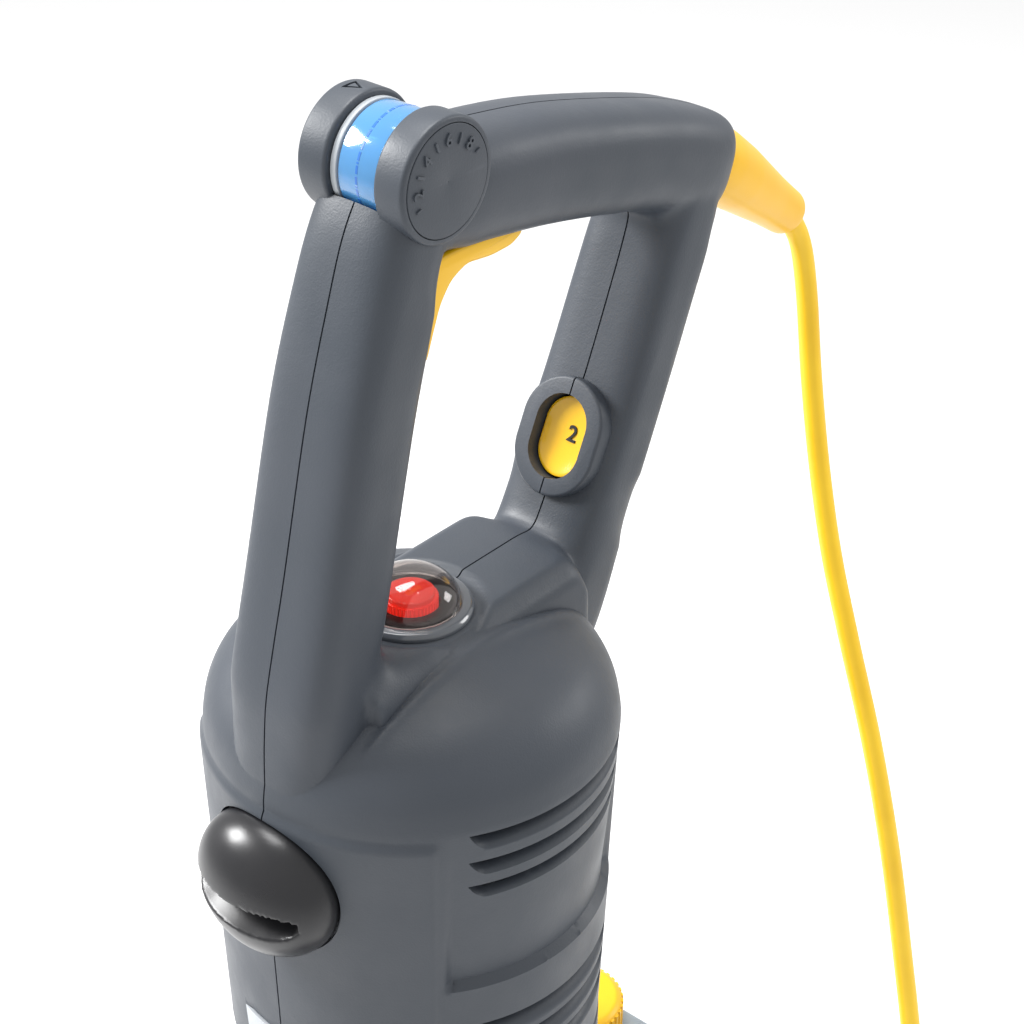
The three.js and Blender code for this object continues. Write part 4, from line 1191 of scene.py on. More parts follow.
    def arrow(self) -> bmesh.types.BMesh:
        """The cutter for the outline arrow that the scale is read against."""
        y, z = DIAL_AT.y, DIAL_AT.z
        outer = prism([(y + 3.6, -20.2), (y - 3.6, -20.2), (y, -13.6)], z + 20.9, z + 24, Axis.Z)
        inner = prism([(y + 1.9, -19.0), (y - 1.9, -19.0), (y, -15.6)], z + 19.0, z + 25, Axis.Z)
        mark = bm_of(carved(as_mesh(outer), cutting(inner)))
        placed(mark, Matrix(((0, 1, 0), (1, 0, 0), (0, 0, 1))).to_4x4())
        bmesh.ops.reverse_faces(mark, faces=mark.faces)
        return mark

    def cutters(self) -> list[Step]:
        """Everything that is joined to the blank and cut out of it, in order."""
        slot = prism(rounded([(-34, DECK_Z + 80), (6, DECK_Z + 80), (14, DECK_Z + 112),
                              (56, DECK_Z + 118), (62, DECK_Z + 147), (0, DECK_Z + 147),
                              (-34, DECK_Z + 146)], 3), -11.6, 11.6)
        pocket = carved(as_mesh(FrontFittings().bulb(0.9)), cutting(self.drum(1.9)))
        badge = block((-26.4, -96, DECK_Z - 187.4), (26.4, -83.5, DECK_Z - 162.6))
        return adding(self.boss(-1), self.boss(1), self.stadium(19, 24, -6, 5, 1.3)) + cutting(
            self.drum(self.wall + 3.4), *LoopHandle().bars(self.wall),
            self.round_cut(20.9, -10.8, 10.8), self.round_cut(3.4, -18.5, 22.5),
            self.round_cut(19.9, 21.4, 26), self.stadium(12, 17, -9, 6), slot,
            rod(19.4, -10, 8, at=(0, COLUMN_Y, DECK_Z)),
            *(self.louvre(h, side) for h in self.louvres for side in (1, -1)),
            bm_of(pocket), badge, placed(rod(9.4, -24, 24), PowerCord().relief_frame()),
            self.arrow())

    def halves(self, whole: bpy.types.Mesh, piece: str, foot: float, crease: float) -> None:
        """Splits a closed shape down the seam and adds both halves.

        Args:
            whole: The closed shape.
            piece: What the halves are called after their side.
            foot: The lowest height that is kept.
            crease: The angle in degrees past which an edge is shaded sharp.
        """
        for name, side in (("right", 1), ("left", -1)):
            near, far = sorted((side * self.seam, side * 300.0))
            half = carved(whole.copy(), [(Join.KEEP, block((near, -300, foot), (far, 300, 1300)))])
            add_piece(f"{name}_{piece}", half, "column", SHELL, [f"{name}_shell"], crease=crease)

    def build(self) -> None:
        """Makes the two halves of the head and of the plain lower column."""
        self.halves(carved(self.blank(), self.cutters()), "head_shell", 700, 38)
        base = corner("right_shell").z - DECK_Z
        joint = self.foot - 0.8
        outer = [(62, base), (70, base + 42), (75.2, base + 84), (76, base + 96), (76, joint - 1.4),
                 (74.6, joint)]
        profile = outer + [(72.6, joint), (73, base + 96), (67, base + 42), (59, base)]
        self.halves(as_mesh(self.round_wall(profile, 144)), "column_shell", 0, 32)


# ---------------------------------------------------------------------------- small helpers
def lettering(text: str, size: float, depth: float, place: Matrix) -> bmesh.types.BMesh:
    """Raised plain figures.

    Args:
        text: What it says.
        size: Its height in millimetres.
        depth: How far it stands out.
        place: Where its middle lies, with x along the line and z out of the surface.

    Returns:
        The closed mesh.
    """
    curve = bpy.data.curves.new("figures", "FONT")
    curve.body, curve.size, curve.extrude = text, size * 1.38, depth / 2
    curve.align_x, curve.align_y, curve.resolution_u = "CENTER", "CENTER", 4
    curve.offset = size * 0.02
    holder = in_scene("holder", curve)
    bm = bm_of(baked(holder))
    bpy.data.objects.remove(holder)
    return placed(bm, place)


def toothed(radius: float, depth: float, teeth: int, bore: float, low: float, high: float,
            axis: Axis, at: Sequence[float], top: float = 0.42) -> bmesh.types.BMesh:
    """A wheel with teeth or ribs round its rim.

    Args:
        radius: Over the teeth.
        depth: Of the gaps.
        teeth: How many.
        bore: Radius of the hole through it, 0 for none.
        low: Its start along the axis.
        high: Its end.
        axis: The axis it turns about.
        at: Where its middle lies.
        top: The share of each step that the tooth takes.

    Returns:
        The closed mesh.
    """
    marks = ((0.0, 0.0), (top, 0.0), (top + 0.12, depth), (0.88, depth))
    rim = [(math.cos(a) * (radius - drop), math.sin(a) * (radius - drop))
           for i in range(teeth) for share, drop in marks
           for a in (math.tau * (i + share) / teeth,)]
    wheel = prism(rim, low, high, Axis.Z)
    if bore:
        hole = rod(bore, low - 1, high + 1)
        wheel = bm_of(carved(as_mesh(wheel), cutting(hole)))
    return placed(wheel, Matrix.Translation(at) @ axis.turn())


def bolt(at: Sequence[float], axis: Axis, radius: float, height: float) -> bmesh.types.BMesh:
    """A hexagon bolt head standing from a face along an axis; a negative height faces back."""
    outline = [(math.cos(math.tau * k / 6) * radius, math.sin(math.tau * k / 6) * radius)
               for k in range(6)]
    low, high = sorted((0.0, height))
    head = prism(outline, low, high, Axis.Z, radius * 0.12, 2)
    return placed(head, Matrix.Translation(at) @ axis.turn())


def dress(finish: Finish, *nodes: str) -> None:
    """Gives CAD solids that stay in sight a finish of their own."""
    for node in nodes:
        for slot in bpy.data.objects[node].material_slots:
            slot.link = "OBJECT"
            slot.material = finish.material()


# ---------------------------------------------------------------------------- controls
@dataclass
class Controls:
    """The dial, the trigger, the rocker in its window and the red button with a painted glow under
    its dome.
    """

    scale: Sequence[tuple[str, float]] = (("2", 180.0), ("4", 135.0), ("6", 90.0), ("8", 45.0))
    bars: Sequence[float] = (157.0, 112.0, 67.0)
    ticks: Sequence[float] = (201.0, 25.0)
    trigger: Sequence[Pair] = (
        (-26, 108), (-14, 103), (-9.5, 105), (-6.4, 113.5), (-2.4, 124), (3, 131), (11, 134.6),
        (24, 132.8), (35, 133.2), (40.5, 136), (41, 140), (37, 142), (6, 143), (-12, 142),
        (-20, 136), (-26, 122))

    def on_rim(self, angle: float, radius: float, x: float) -> Matrix:
        """A place on the dial's face: x runs round it, z runs out along +X."""
        turn = math.radians(angle)
        out = Vector((0, math.cos(turn), math.sin(turn)))
        along = Vector((0, math.sin(turn), -math.cos(turn)))
        spot = Vector((x, DIAL_AT.y, DIAL_AT.z)) + out * radius
        turned_frame = Matrix((along, out, Vector((1, 0, 0)))).transposed()
        return Matrix.Translation(spot) @ turned_frame.to_4x4()

    def dial(self) -> None:
        """The wheel with its marks, the pale seal and the scale disc with its figures."""
        at = DIAL_LINE
        wheel = turned(softened([(3.3, -7.2), (19.6, -7.2), (19.6, 10.3), (3.3, 10.3)], 0.7),
                       Axis.X, at, 128)
        add_piece("dial_thumb_wheel", wheel, "dial", BLUE, ["dial_wheel"])
        marks = []
        for k in range(15):
            base = k * 24.0
            for step, reach in ((-6.6, 2.9), (0.0, 0.7), (6.6, 2.9)):
                turn = math.radians(base + step)
                mark = block((0.65, -reach / 2, 19.3), (1.75, reach / 2, 19.68), 0.1, 1)
                bmesh.ops.rotate(mark, verts=mark.verts, matrix=Matrix.Rotation(turn, 3, "X"))
                bmesh.ops.translate(mark, verts=mark.verts, vec=at)
                marks.append(mark)
        add_piece("dial_wheel_marks", merged(*marks), "dial", BLUE_DEEP)
        seal = turned(softened([(4, -10.5), (19.9, -10.5), (19.9, -7.9), (4, -7.9)], 0.5),
                      Axis.X, at, 96)
        add_piece("dial_pale_ring", seal, "column", PALE, ["dial_seal_ring"])
        disc = turned(softened([(0, 21.8), (19.6, 21.8), (19.6, 24.0), (0, 24.0)], 0.5),
                      Axis.X, at, 96)
        face = 24.1
        raised = [disc] + [lettering(figure, 4.6, 1.2, self.on_rim(angle, 14.4, face))
                           for figure, angle in self.scale]
        strokes = [(angle, 14.6, 0.5, 1.9) for angle in self.bars]
        strokes += [(angle, 15.6, 0.4, 1.2) for angle in self.ticks]
        for angle, radius, wide, tall in strokes:
            bar = block((-wide, -tall, -0.5), (wide, tall, 0.6), 0.15, 1)
            placed(bar, self.on_rim(angle, radius, face))
            raised.append(bar)
        add_piece("dial_figured_disc", merged(*raised), "dial", SHELL, ["dial_scale_disc"])

    def lever(self) -> None:
        """The trigger, with its pin."""
        outline = rounded([(y, DECK_Z + z) for y, z in self.trigger], 3, 3)
        lever = prism(outline, -10.5, 10.5, Axis.X, 2.2, 4)
        pin = rod(2.5, -11.2, 11.2, Axis.X, (0, -12, DECK_Z + 128), 32, 0.4)
        whole = carved(as_mesh(lever), adding(pin))
        add_piece("trigger_lever", whole, "trigger", YELLOW, ["trigger"], crease=40)

    def rocker(self) -> None:
        """The glossy dished rocker with its figure."""
        frame_at = HeadShell().window_frame()
        side, rings = 5.0, []
        for share, height in ((0.96, -5), (1, -4.6), (1, -1.0), (0.985, -0.65), (0.95, -0.5),
                              (0.9, -0.62), (0.8, -0.95), (0.6, -1.45), (0.35, -1.8), (0.1, -1.95)):
            ring = []
            for k in range(72):
                a = math.tau * (k + 0.5) / 72
                y = math.sin(a) * 11.2 * share + math.copysign(side * share, math.pi - a)
                ring.append(frame_at @ Vector((math.cos(a) * 11.2 * share, y, height)))
            rings.append(ring)
        add_piece("rocker_plate", loft(rings), "rocker", YELLOW_GLOSS, ["speed_rocker"])
        place = frame_at @ Matrix.Translation((2.4, 1.6, -1.5))
        add_piece("rocker_figure", lettering("2", 6.6, 0.5, place), "rocker", BLACK_SATIN)

    def lamp(self) -> None:
        """The metal ring, the clear dome and the ribbed red button, whose red carries a painted
        glow.
        """
        at = (0, COLUMN_Y, DECK_Z)
        ring = turned(softened([(18.6, -2.2), (24, -2.2), (24, -0.6), (22.8, 0.8), (19.8, 1.2),
                                (18.6, 0.6)], 0.5), Axis.Z, at, 128)
        add_piece("dome_seat_ring", ring, "column", SMOKE, ["dome_ring"])
        outer, inner = ([(radius * math.cos(t), 0.8 + rise * math.sin(t))
                         for t in (math.pi / 2 * k / 16 for k in range(17))]
                        for radius, rise in ((19.2, 13.4), (18.2, 12.4)))
        dome = turned(outer + inner[::-1], Axis.Z, at, 96)
        add_piece("dome_clear_cover", dome, "column", DOME, ["dome_cover"])
        cap = turned(softened([(0, 2.4), (9.3, 2.4), (9.3, 5.2), (7.6, 5.5), (0, 4.6)], 0.6),
                     Axis.Z, at, 96)
        skirt = toothed(10.5, 0.6, 44, 0, -3, 3.2, Axis.Z, at)
        # The button's red finish carries a painted glow; it is no lamp.
        add_piece("lit_button", merged(cap, skirt), "power_button", RED, ["power_button"])
        well = turned(softened([(11.2, -1.6), (18.4, -1.6), (18.4, 0.8), (11.2, 0.8)], 0.3),
                      Axis.Z, at, 72)
        add_piece("button_well_floor", well, "column", BLACK_SATIN)

    def build(self) -> None:
        """Makes every control."""
        self.dial()
        self.lever()
        self.rocker()
        self.lamp()
        dress(STEEL, "dial_axle", "flow_valve", "trigger_spring", "shell_screw_1",
              "shell_screw_2")
        dress(BLACK, "trigger_switch", "power_switch_body")


# ---------------------------------------------------------------------------- front
@dataclass
class FrontFittings:
    """The cord hook and the blank plate on the front of the column."""

    hook_at: Triple = (0.0, -88.5, 888.0)
    half: Triple = (31.5, 21.5, 29.0)

    def bulb(self, grow: float = 0.0) -> bmesh.types.BMesh:
        """The hook's ovoid, a little fuller above its middle."""
        line = [(math.cos(t), math.sin(t)) for t in
                (-math.pi / 2 + math.pi * k / 48 for k in range(49))]
        shape = turned([(r ** 0.92 if r > 1e-9 else 0.0, z) for r, z in line],
                       Axis.Z, (0, 0, 0), 96)
        size = Matrix.Diagonal([s + grow for s in self.half] + [1])
        return placed(shape, Matrix.Translation(self.hook_at) @ size)

    def mouth(self) -> bmesh.types.BMesh:
        """The slot that holds the cord, drawn from the front and cut back to the column."""
        z = self.hook_at[2] - 3
        upper = [(-40, z - 5), (-27, z + 1.0), (-14, z + 3.8), (0, z + 4.9), (12, z + 4.2),
                 (20, z + 2.4), (26, z - 1.4)]
        lower = [(26.4, z - 5.0), (22, z - 7.0), (12, z - 6.4), (0, z - 5.4), (-12, z - 6.0),
                 (-24, z - 8.2), (-40, z - 9.4)]
        line = [(v.x, v.y) for v in flowing([Vector(p) for p in upper], 5)]
        line += [(v.x, v.y) for v in flowing([Vector(p) for p in lower], 5)]
        cutter = prism([(b, a) for a, b in line], -130, -96, Axis.Y)
        hinge = Matrix.Translation((0, -110, z))
        tilt = hinge @ Matrix.Rotation(math.radians(30), 4, "X") @ hinge.inverted()
        return placed(cutter, tilt)

    def hook(self) -> None:
        """The black hook."""
        body = carved(as_mesh(self.bulb()), cutting(self.mouth(), HeadShell().drum(0.9)))
        smooth = remeshed(body, 0.8)
        relaxed(smooth, 5)
        peg = block((-8.7, -92, 877), (8.7, -86, 895))
        add_piece("hook_body", carved(smooth, adding(peg)), "column", BLACK_SATIN,
                  ["cord_hook"], crease=60)

    def plate(self) -> None:
        """The blank plate."""
        outline = rounded([(DECK_Z - 187, -26), (DECK_Z - 187, 26), (DECK_Z - 163, 26),
                           (DECK_Z - 163, -26)], 3, 4)
        blank = prism(outline, -97, -85, Axis.Y)
        face = turned([(0, -190), (78.6, -190), (79.4, -160), (0, -160)],
                      at=(0, COLUMN_Y, DECK_Z), segments=160)
        flattening = Matrix.Diagonal((1, HeadShell().roundness, 1, 1))
        placed(face, Matrix.Translation((0, COLUMN_Y, 0)) @ flattening
               @ Matrix.Translation((0, -COLUMN_Y, 0)))
        add_piece("blank_plate", carved(as_mesh(blank), [(Join.KEEP, face)]), "column", PALE,
                  ["badge_plate"])

    def build(self) -> None:
        """Makes the front fittings."""
        self.hook()
        self.plate()


# ---------------------------------------------------------------------------- tank
@dataclass
class Tank:
    """The solution tank with its cap, cradle and latch."""

    half_x: float = 84.0
    rear: float = 118.0
    front: float = 14.0
    recess: float = 78.0
    bend: float = 42.0
    low: float = 480.0
    high: float = 682.0
    neck_y: float = 94.5

    def plan(self, inset: float) -> list[Pair]:
        """The tank's outline from above, which follows the column in front."""
        x, rear, bend = self.half_x - inset, self.rear - inset, self.bend - inset
        recess, front = self.recess + inset, self.front + inset
        edge = math.sqrt(recess ** 2 - (front - COLUMN_Y) ** 2)
        turn = math.degrees(math.atan2(front - COLUMN_Y, edge))

        def arc(cx: float, cy: float, r: float, first: float, last: float, steps: int
                ) -> list[Pair]:
            """Points on an arc."""
            return [(cx + r * math.cos(math.radians(first + (last - first) * k / steps)),
                     cy + r * math.sin(math.radians(first + (last - first) * k / steps)))
                    for k in range(steps + 1)]

        return [(x, front), *arc(x - bend, rear - bend, bend, 0, 90, 12),
                *arc(-x + bend, rear - bend, bend, 90, 180, 12), (-x, front),
                *arc(0, COLUMN_Y, recess, 180 - turn, turn, 28)]

    def bottle(self) -> None:
        """The translucent tank with its neck and its level marks."""
        neck = rod(20, self.high - 8, self.high + 9, at=(0, self.neck_y, 0))
        inner = prism(self.plan(3), self.low + 3, self.high - 3, Axis.Z)
        bore = rod(17, self.high - 12, self.high + 12, at=(0, self.neck_y, 0))
        outer = prism(self.plan(0), self.low, self.high, Axis.Z, 3.0, 4)
        whole = carved(as_mesh(outer), adding(neck) + cutting(inner, bore))
        add_piece("tank_bottle", whole, "tank", TANK, ["solution_tank"], crease=40)
        side = -self.half_x
        lines = [block((side - 0.5, 58, z), (side + 0.4, 58 + reach, z + 1.4), 0.2, 1)
                 for z, reach in ((520, 18), (560, 11), (600, 18), (640, 11))]
        add_piece("tank_level_marks", merged(*lines), "tank", BLACK_SATIN)

    def cap(self) -> None:
        """The ribbed screw cap."""
        at = (0, self.neck_y, 0)
        foot, brim, crown = self.high + 9.3, self.high + 15, self.high + 17
        top = turned(softened([(0, foot), (23.2, foot), (23.2, brim), (20.5, crown), (0, crown)],
                              1.0), Axis.Z, at, 96)
        skirt = toothed(24, 0.9, 40, 20.4, self.high + 2, self.high + 14.6, Axis.Z, at)
        add_piece("tank_screw_cap", merged(top, skirt), "tank_cap", YELLOW, ["tank_cap"])

    def seat(self) -> None:
        """The cradle under the tank and the latch over it."""
        column = rod(77, 400, 560, at=(0, COLUMN_Y, 0), segments=128)
        slab = prism(self.plan(-1), self.low - 16, self.low - 0.4, Axis.Z, 1.8, 3)
        groove = prism(self.plan(-3), self.low - 9, self.low - 7, Axis.Z)
        core = prism(self.plan(0.6), self.low - 10, self.low - 6, Axis.Z)
        ring = carved(as_mesh(groove), cutting(core))
        ledge = carved(as_mesh(slab), cutting(bm_of(ring), column))
        add_piece("tank_seat", ledge, "column", BLACK, ["tank_cradle"])
        latch = block((-14, 60, self.high + 6), (14, 69.4, self.high + 40), 2.2, 3)
        grips = [block((-9, 68.6, z), (9, 70.2, z + 2), 0.5, 2)
                 for z in (self.high + 22, self.high + 27, self.high + 32)]
        drum = rod(76.8, 640, 760, at=(0, COLUMN_Y, 0), segments=128)
        body = carved(as_mesh(latch), cutting(drum))
        add_piece("tank_latch_key", body, "tank_latch", BLACK, ["tank_latch"])
        add_piece("tank_latch_grips", merged(*grips), "tank_latch", YELLOW)

    def build(self) -> None:
        """Makes the tank and its fittings."""
        self.bottle()
        self.cap()
        self.seat()


# ---------------------------------------------------------------------------- drive
@dataclass
class Drive:
    """The motor on the tilt axis, the fork over it, the belt and the brushes."""

    axis_y: float = 42.0
    axis_z: float = 205.0
    motor_r: float = 62.0
    case_x: float = 130.0
    arm_x: float = 146.0
    bridge_z: float = 286.0
    brush_y: float = 62.0
    brush_z: float = 48.0
    brush_x: float = 172.0

    def fork(self) -> None:
        """The cast fork with its neck into the column and its bolts."""
        out, y, z = self.arm_x + 12, self.axis_y, self.axis_z
        eye = [(y + 33 * math.cos(t), z + 33 * math.sin(t))
               for t in (math.pi + math.pi * k / 20 for k in range(21))]
        top = self.bridge_z + 30
        side = eye + [(y + 20, self.bridge_z), (y - 10, top), (-54, top), (-50, self.bridge_z)]
        bridge = [(self.bridge_z - 30, -out), (self.bridge_z - 30, out), (self.bridge_z, out),
                  (self.bridge_z + 22, out - 22), (top, 70), (top, -70),
                  (self.bridge_z + 22, -out + 22), (self.bridge_z, -out)]
        arms = [block((s, -100, 100), (s + 12, 150, self.bridge_z)) for s in (-out, self.arm_x)]
        frame_cut = carved(as_mesh(prism(rounded(bridge, 10, 4), -50, 150, Axis.Y)),
                           adding(*arms))
        neck = turned(softened([(51, self.bridge_z + 18), (57, self.bridge_z + 18),
                                (57, self.bridge_z + 104), (51, self.bridge_z + 104)], 1),
                      at=(0, COLUMN_Y, 0), segments=96)
        collar = turned(softened([(51, self.bridge_z + 20), (66, self.bridge_z + 20),
                                  (61.5, self.bridge_z + 31.4), (51, self.bridge_z + 31.4)], 1.5),
                        at=(0, COLUMN_Y, 0), segments=96)
        room = rod(70, -self.arm_x, self.arm_x, Axis.X, (0, y, z), 96)
        bore = rod(22.3, -out - 1, out + 1, Axis.X, (0, y, z), 64)
        made = carved(as_mesh(prism(side, -out, out, Axis.X, 3.5, 3)), [
            (Join.KEEP, bm_of(frame_cut)), *adding(neck, collar), *cutting(room, bore)])
        add_piece("fork_casting", made, "column", CAST, ["tilt_fork"], crease=28)
        heads = [bolt((s * out, y + 27.4 * math.cos(t), z + 27.4 * math.sin(t)), Axis.X, 2.6,
                      s * 2.2) for s in (-1, 1) for t in (3.6, 4.2, 5.2, 5.8)]
        heads += [bolt((x, -30, top), Axis.Z, 5, 3.4) for x in (-100 + 26, 100 - 26)]
        add_piece("fork_bolts", merged(*heads), "column", STEEL)

    def motor(self) -> None:
        """The finned casing with its feet, and the end caps with their trunnions."""
        outline: list[Pair] = [(57, -self.case_x), (self.motor_r, -self.case_x)]
        x = -self.case_x + 8
        while x < self.case_x - 12:
            outline += [(self.motor_r, x), (self.motor_r - 3.6, x + 1.2),
                        (self.motor_r - 3.6, x + 5.2), (self.motor_r, x + 6.4)]
            x += 9.2
        outline += [(self.motor_r, self.case_x), (57, self.case_x)]
        casing = turned(outline, Axis.X, (0, self.axis_y, self.axis_z), 96)
        feet = [block((s - 18, self.axis_y - 34, 103.3), (s + 18, self.axis_y + 34, 165), 3)
                for s in (-80, 80)]
        bore = rod(57, -200, 200, Axis.X, (0, self.axis_y, self.axis_z), 96)
        made = carved(as_mesh(casing), adding(*feet) + cutting(bore))
        add_piece("motor_finned_case", made, "deck", CAST, ["motor_casing"], crease=30)
        for name, s in (("left", -1), ("right", 1)):
            near, far = s * (self.case_x + 0.3), s * (self.case_x + 9)
            profile = [(7.3, near), (self.motor_r, near), (self.motor_r, s * (self.case_x + 6)),
                       (self.motor_r - 3, far), (40, far), (37, far - s * 3), (28, far - s * 3),
                       (26, far), (22, far), (22, s * 162), (7.3, s * 162)]
            cap = turned(softened(profile, 1.0), Axis.X, (0, self.axis_y, self.axis_z), 96)
            heads = [bolt((far - s * 0.6, self.axis_y + 50 * math.cos(t),
                           self.axis_z + 50 * math.sin(t)), Axis.X, 3.4, s * 2.6)
                     for t in (math.tau * (k + 0.5) / 6 for k in range(6))]
            add_piece(f"motor_end_{name}", merged(cap, *heads), "deck", CAST,
                      [f"motor_cap_{name}"])
        dress(STEEL, "motor_rotor")

    def pulleys(self) -> None:
        """The toothed pulleys."""
        low, high = 184.0, 198.0
        spots = (("motor_pulley", "rotor", 16.0, 7.15, self.axis_y, self.axis_z, STEEL, 20),
                 ("brush_front_pulley", "brush_front", 22.0, 6.15, -self.brush_y, self.brush_z,
                  BLACK, 28),
                 ("brush_rear_pulley", "brush_rear", 22.0, 6.15, self.brush_y, self.brush_z,
                  BLACK, 28),
                 ("idler_pulley", "idler", 12.0, 3.3, -self.brush_y - 50, 46.0, BLACK, 0))
        for node, body, r, bore, y, z, finish, teeth in spots:
            if teeth:
                wheel = toothed(r, 1.1, teeth, bore, low + 1.4, high - 1.4, Axis.X, (0, y, z))
                lips = [turned([(bore, a), (r, a), (r, a + 1.3), (bore, a + 1.3)], Axis.X,
                               (0, y, z), 48) for a in (low, high - 1.3)]
                shape = merged(wheel, *lips)
            else:
                shape = turned(softened([(bore, low), (r, low), (r, high), (bore, high)], 0.8),
                               Axis.X, (0, y, z), 48)
            add_piece(f"{node}_wheel", shape, body, finish, [node])

    def belt_line(self) -> list[tuple[Vector, Vector]]:
        """The belt's middle line round the pulleys, each point with its outward normal."""
        reach = 1.8
        rounds = [(self.axis_y, self.axis_z, 16 + reach), (-self.brush_y - 50, 46.0, 12 + reach),
                  (-self.brush_y, self.brush_z, -22 - reach),
                  (self.brush_y, self.brush_z, 22 + reach)]
        headings = []
        for (y, z, r), (y2, z2, r2) in zip(rounds, rounds[1:] + rounds[:1]):
            headings.append(math.atan2(z2 - z, y2 - y)
                            - math.asin((r2 - r) / math.hypot(y2 - y, z2 - z)))
        corners: list[tuple[Vector, Vector]] = []
        for i, (y, z, r) in enumerate(rounds):
            into = headings[i - 1]
            turn = headings[i] - into
            while r > 0 and turn < 0:
                turn += math.tau
            while r < 0 and turn > 0:
                turn -= math.tau
            steps = max(4, int(abs(turn) * abs(r) / 1.6))
            for k in range(steps + 1):
                facing = into + turn * k / steps + math.pi / 2
                out = Vector((-math.cos(facing), -math.sin(facing)))
                corners.append((Vector((y, z)) + out * r, out))
        line: list[tuple[Vector, Vector]] = []
        for (a, na), (b, nb) in zip(corners, corners[1:] + corners[:1]):
            count = max(1, int((b - a).length / 2.2))
            line += [(a.lerp(b, k / count), na.lerp(nb, k / count).normalized())
                     for k in range(count)]
        return line

    def belt(self) -> None:
        """The toothed drive belt."""
        line = self.belt_line()
        rings = []
        for i, (spot, out) in enumerate(line):
            inner = spot - out * (1.5 if i % 2 else 0.7)
            outer = spot + out * 1.5
            rings.append([Vector((x, p.x, p.y)) for x, p in (
                (186.5, inner), (195.5, inner), (195.5, outer), (186.5, outer))])
        add_piece("drive_toothed_belt", loft(rings + rings[:1], False), "deck", RUBBER,
                  ["drive_belt"])

    def brush(self, name: str, y: float, hand: int) -> None:
        """One brush: a turned core with spiral tufts.

        Args:
            name: "front" or "rear".
            y: Where its axis lies.
            hand: Which way the spirals run.
        """
        at = (0, y, self.brush_z)
        shape = turned([(0, -183.9), (6, -183.9), (6, -self.brush_x), (19.6, -self.brush_x),
                        (19.6, self.brush_x), (6, self.brush_x), (6, 201), (0, 201)],
                       Axis.X, at, 64)
        add_piece(f"brush_{name}_roller", shape, f"brush_{name}", BLACK, [f"brush_{name}_core"])
        rng = random.Random(7 + hand)
        hairs = bmesh.new()
        for row in range(6):
            for k in range(56):
                x = -165 + 330 * k / 55
                angle = math.tau * row / 6 + hand * x / 95
                for _ in range(9):
                    turn = angle + rng.uniform(-0.11, 0.11)
                    lean = rng.uniform(-0.05, 0.05)
                    foot = x + rng.uniform(-2.0, 2.0)
                    tip = min(max(foot + rng.uniform(-1.6, 1.6), -168), 168)
                    inner = Vector((foot, math.cos(turn) * 19, math.sin(turn) * 19))
                    reach = 47.9 - rng.random() * 0.8
                    outer = Vector((tip, math.cos(turn + lean) * reach,
                                    math.sin(turn + lean) * reach))
                    side = Vector((0.42, 0, 0))
                    other = (outer - inner).cross(side).normalized() * 0.42
                    ends = [[hairs.verts.new(Vector(at) + p + d) for d in (side, other, -side,
                                                                         -other)]
                            for p in (inner, outer)]
                    for i in range(4):
                        j = (i + 1) % 4
                        hairs.faces.new((ends[0][i], ends[0][j], ends[1][j], ends[1][i]))
                    hairs.faces.new(ends[1])
        add_piece(f"brush_{name}_tufts", hairs, f"brush_{name}", BRISTLE,
                  [f"brush_{name}_bristles"])

    def build(self) -> None:
        """Makes the drive."""
        self.fork()
        self.motor()
        self.pulleys()
        self.belt()
        self.brush("front", -self.brush_y, 1)
        self.brush("rear", self.brush_y, -1)
        dress(BLACK, "fan_wheel", "pump")
        dress(CAST, "fan_motor")
        dress(BOARD, "control_board")
        dress(PALE, "solution_hose")


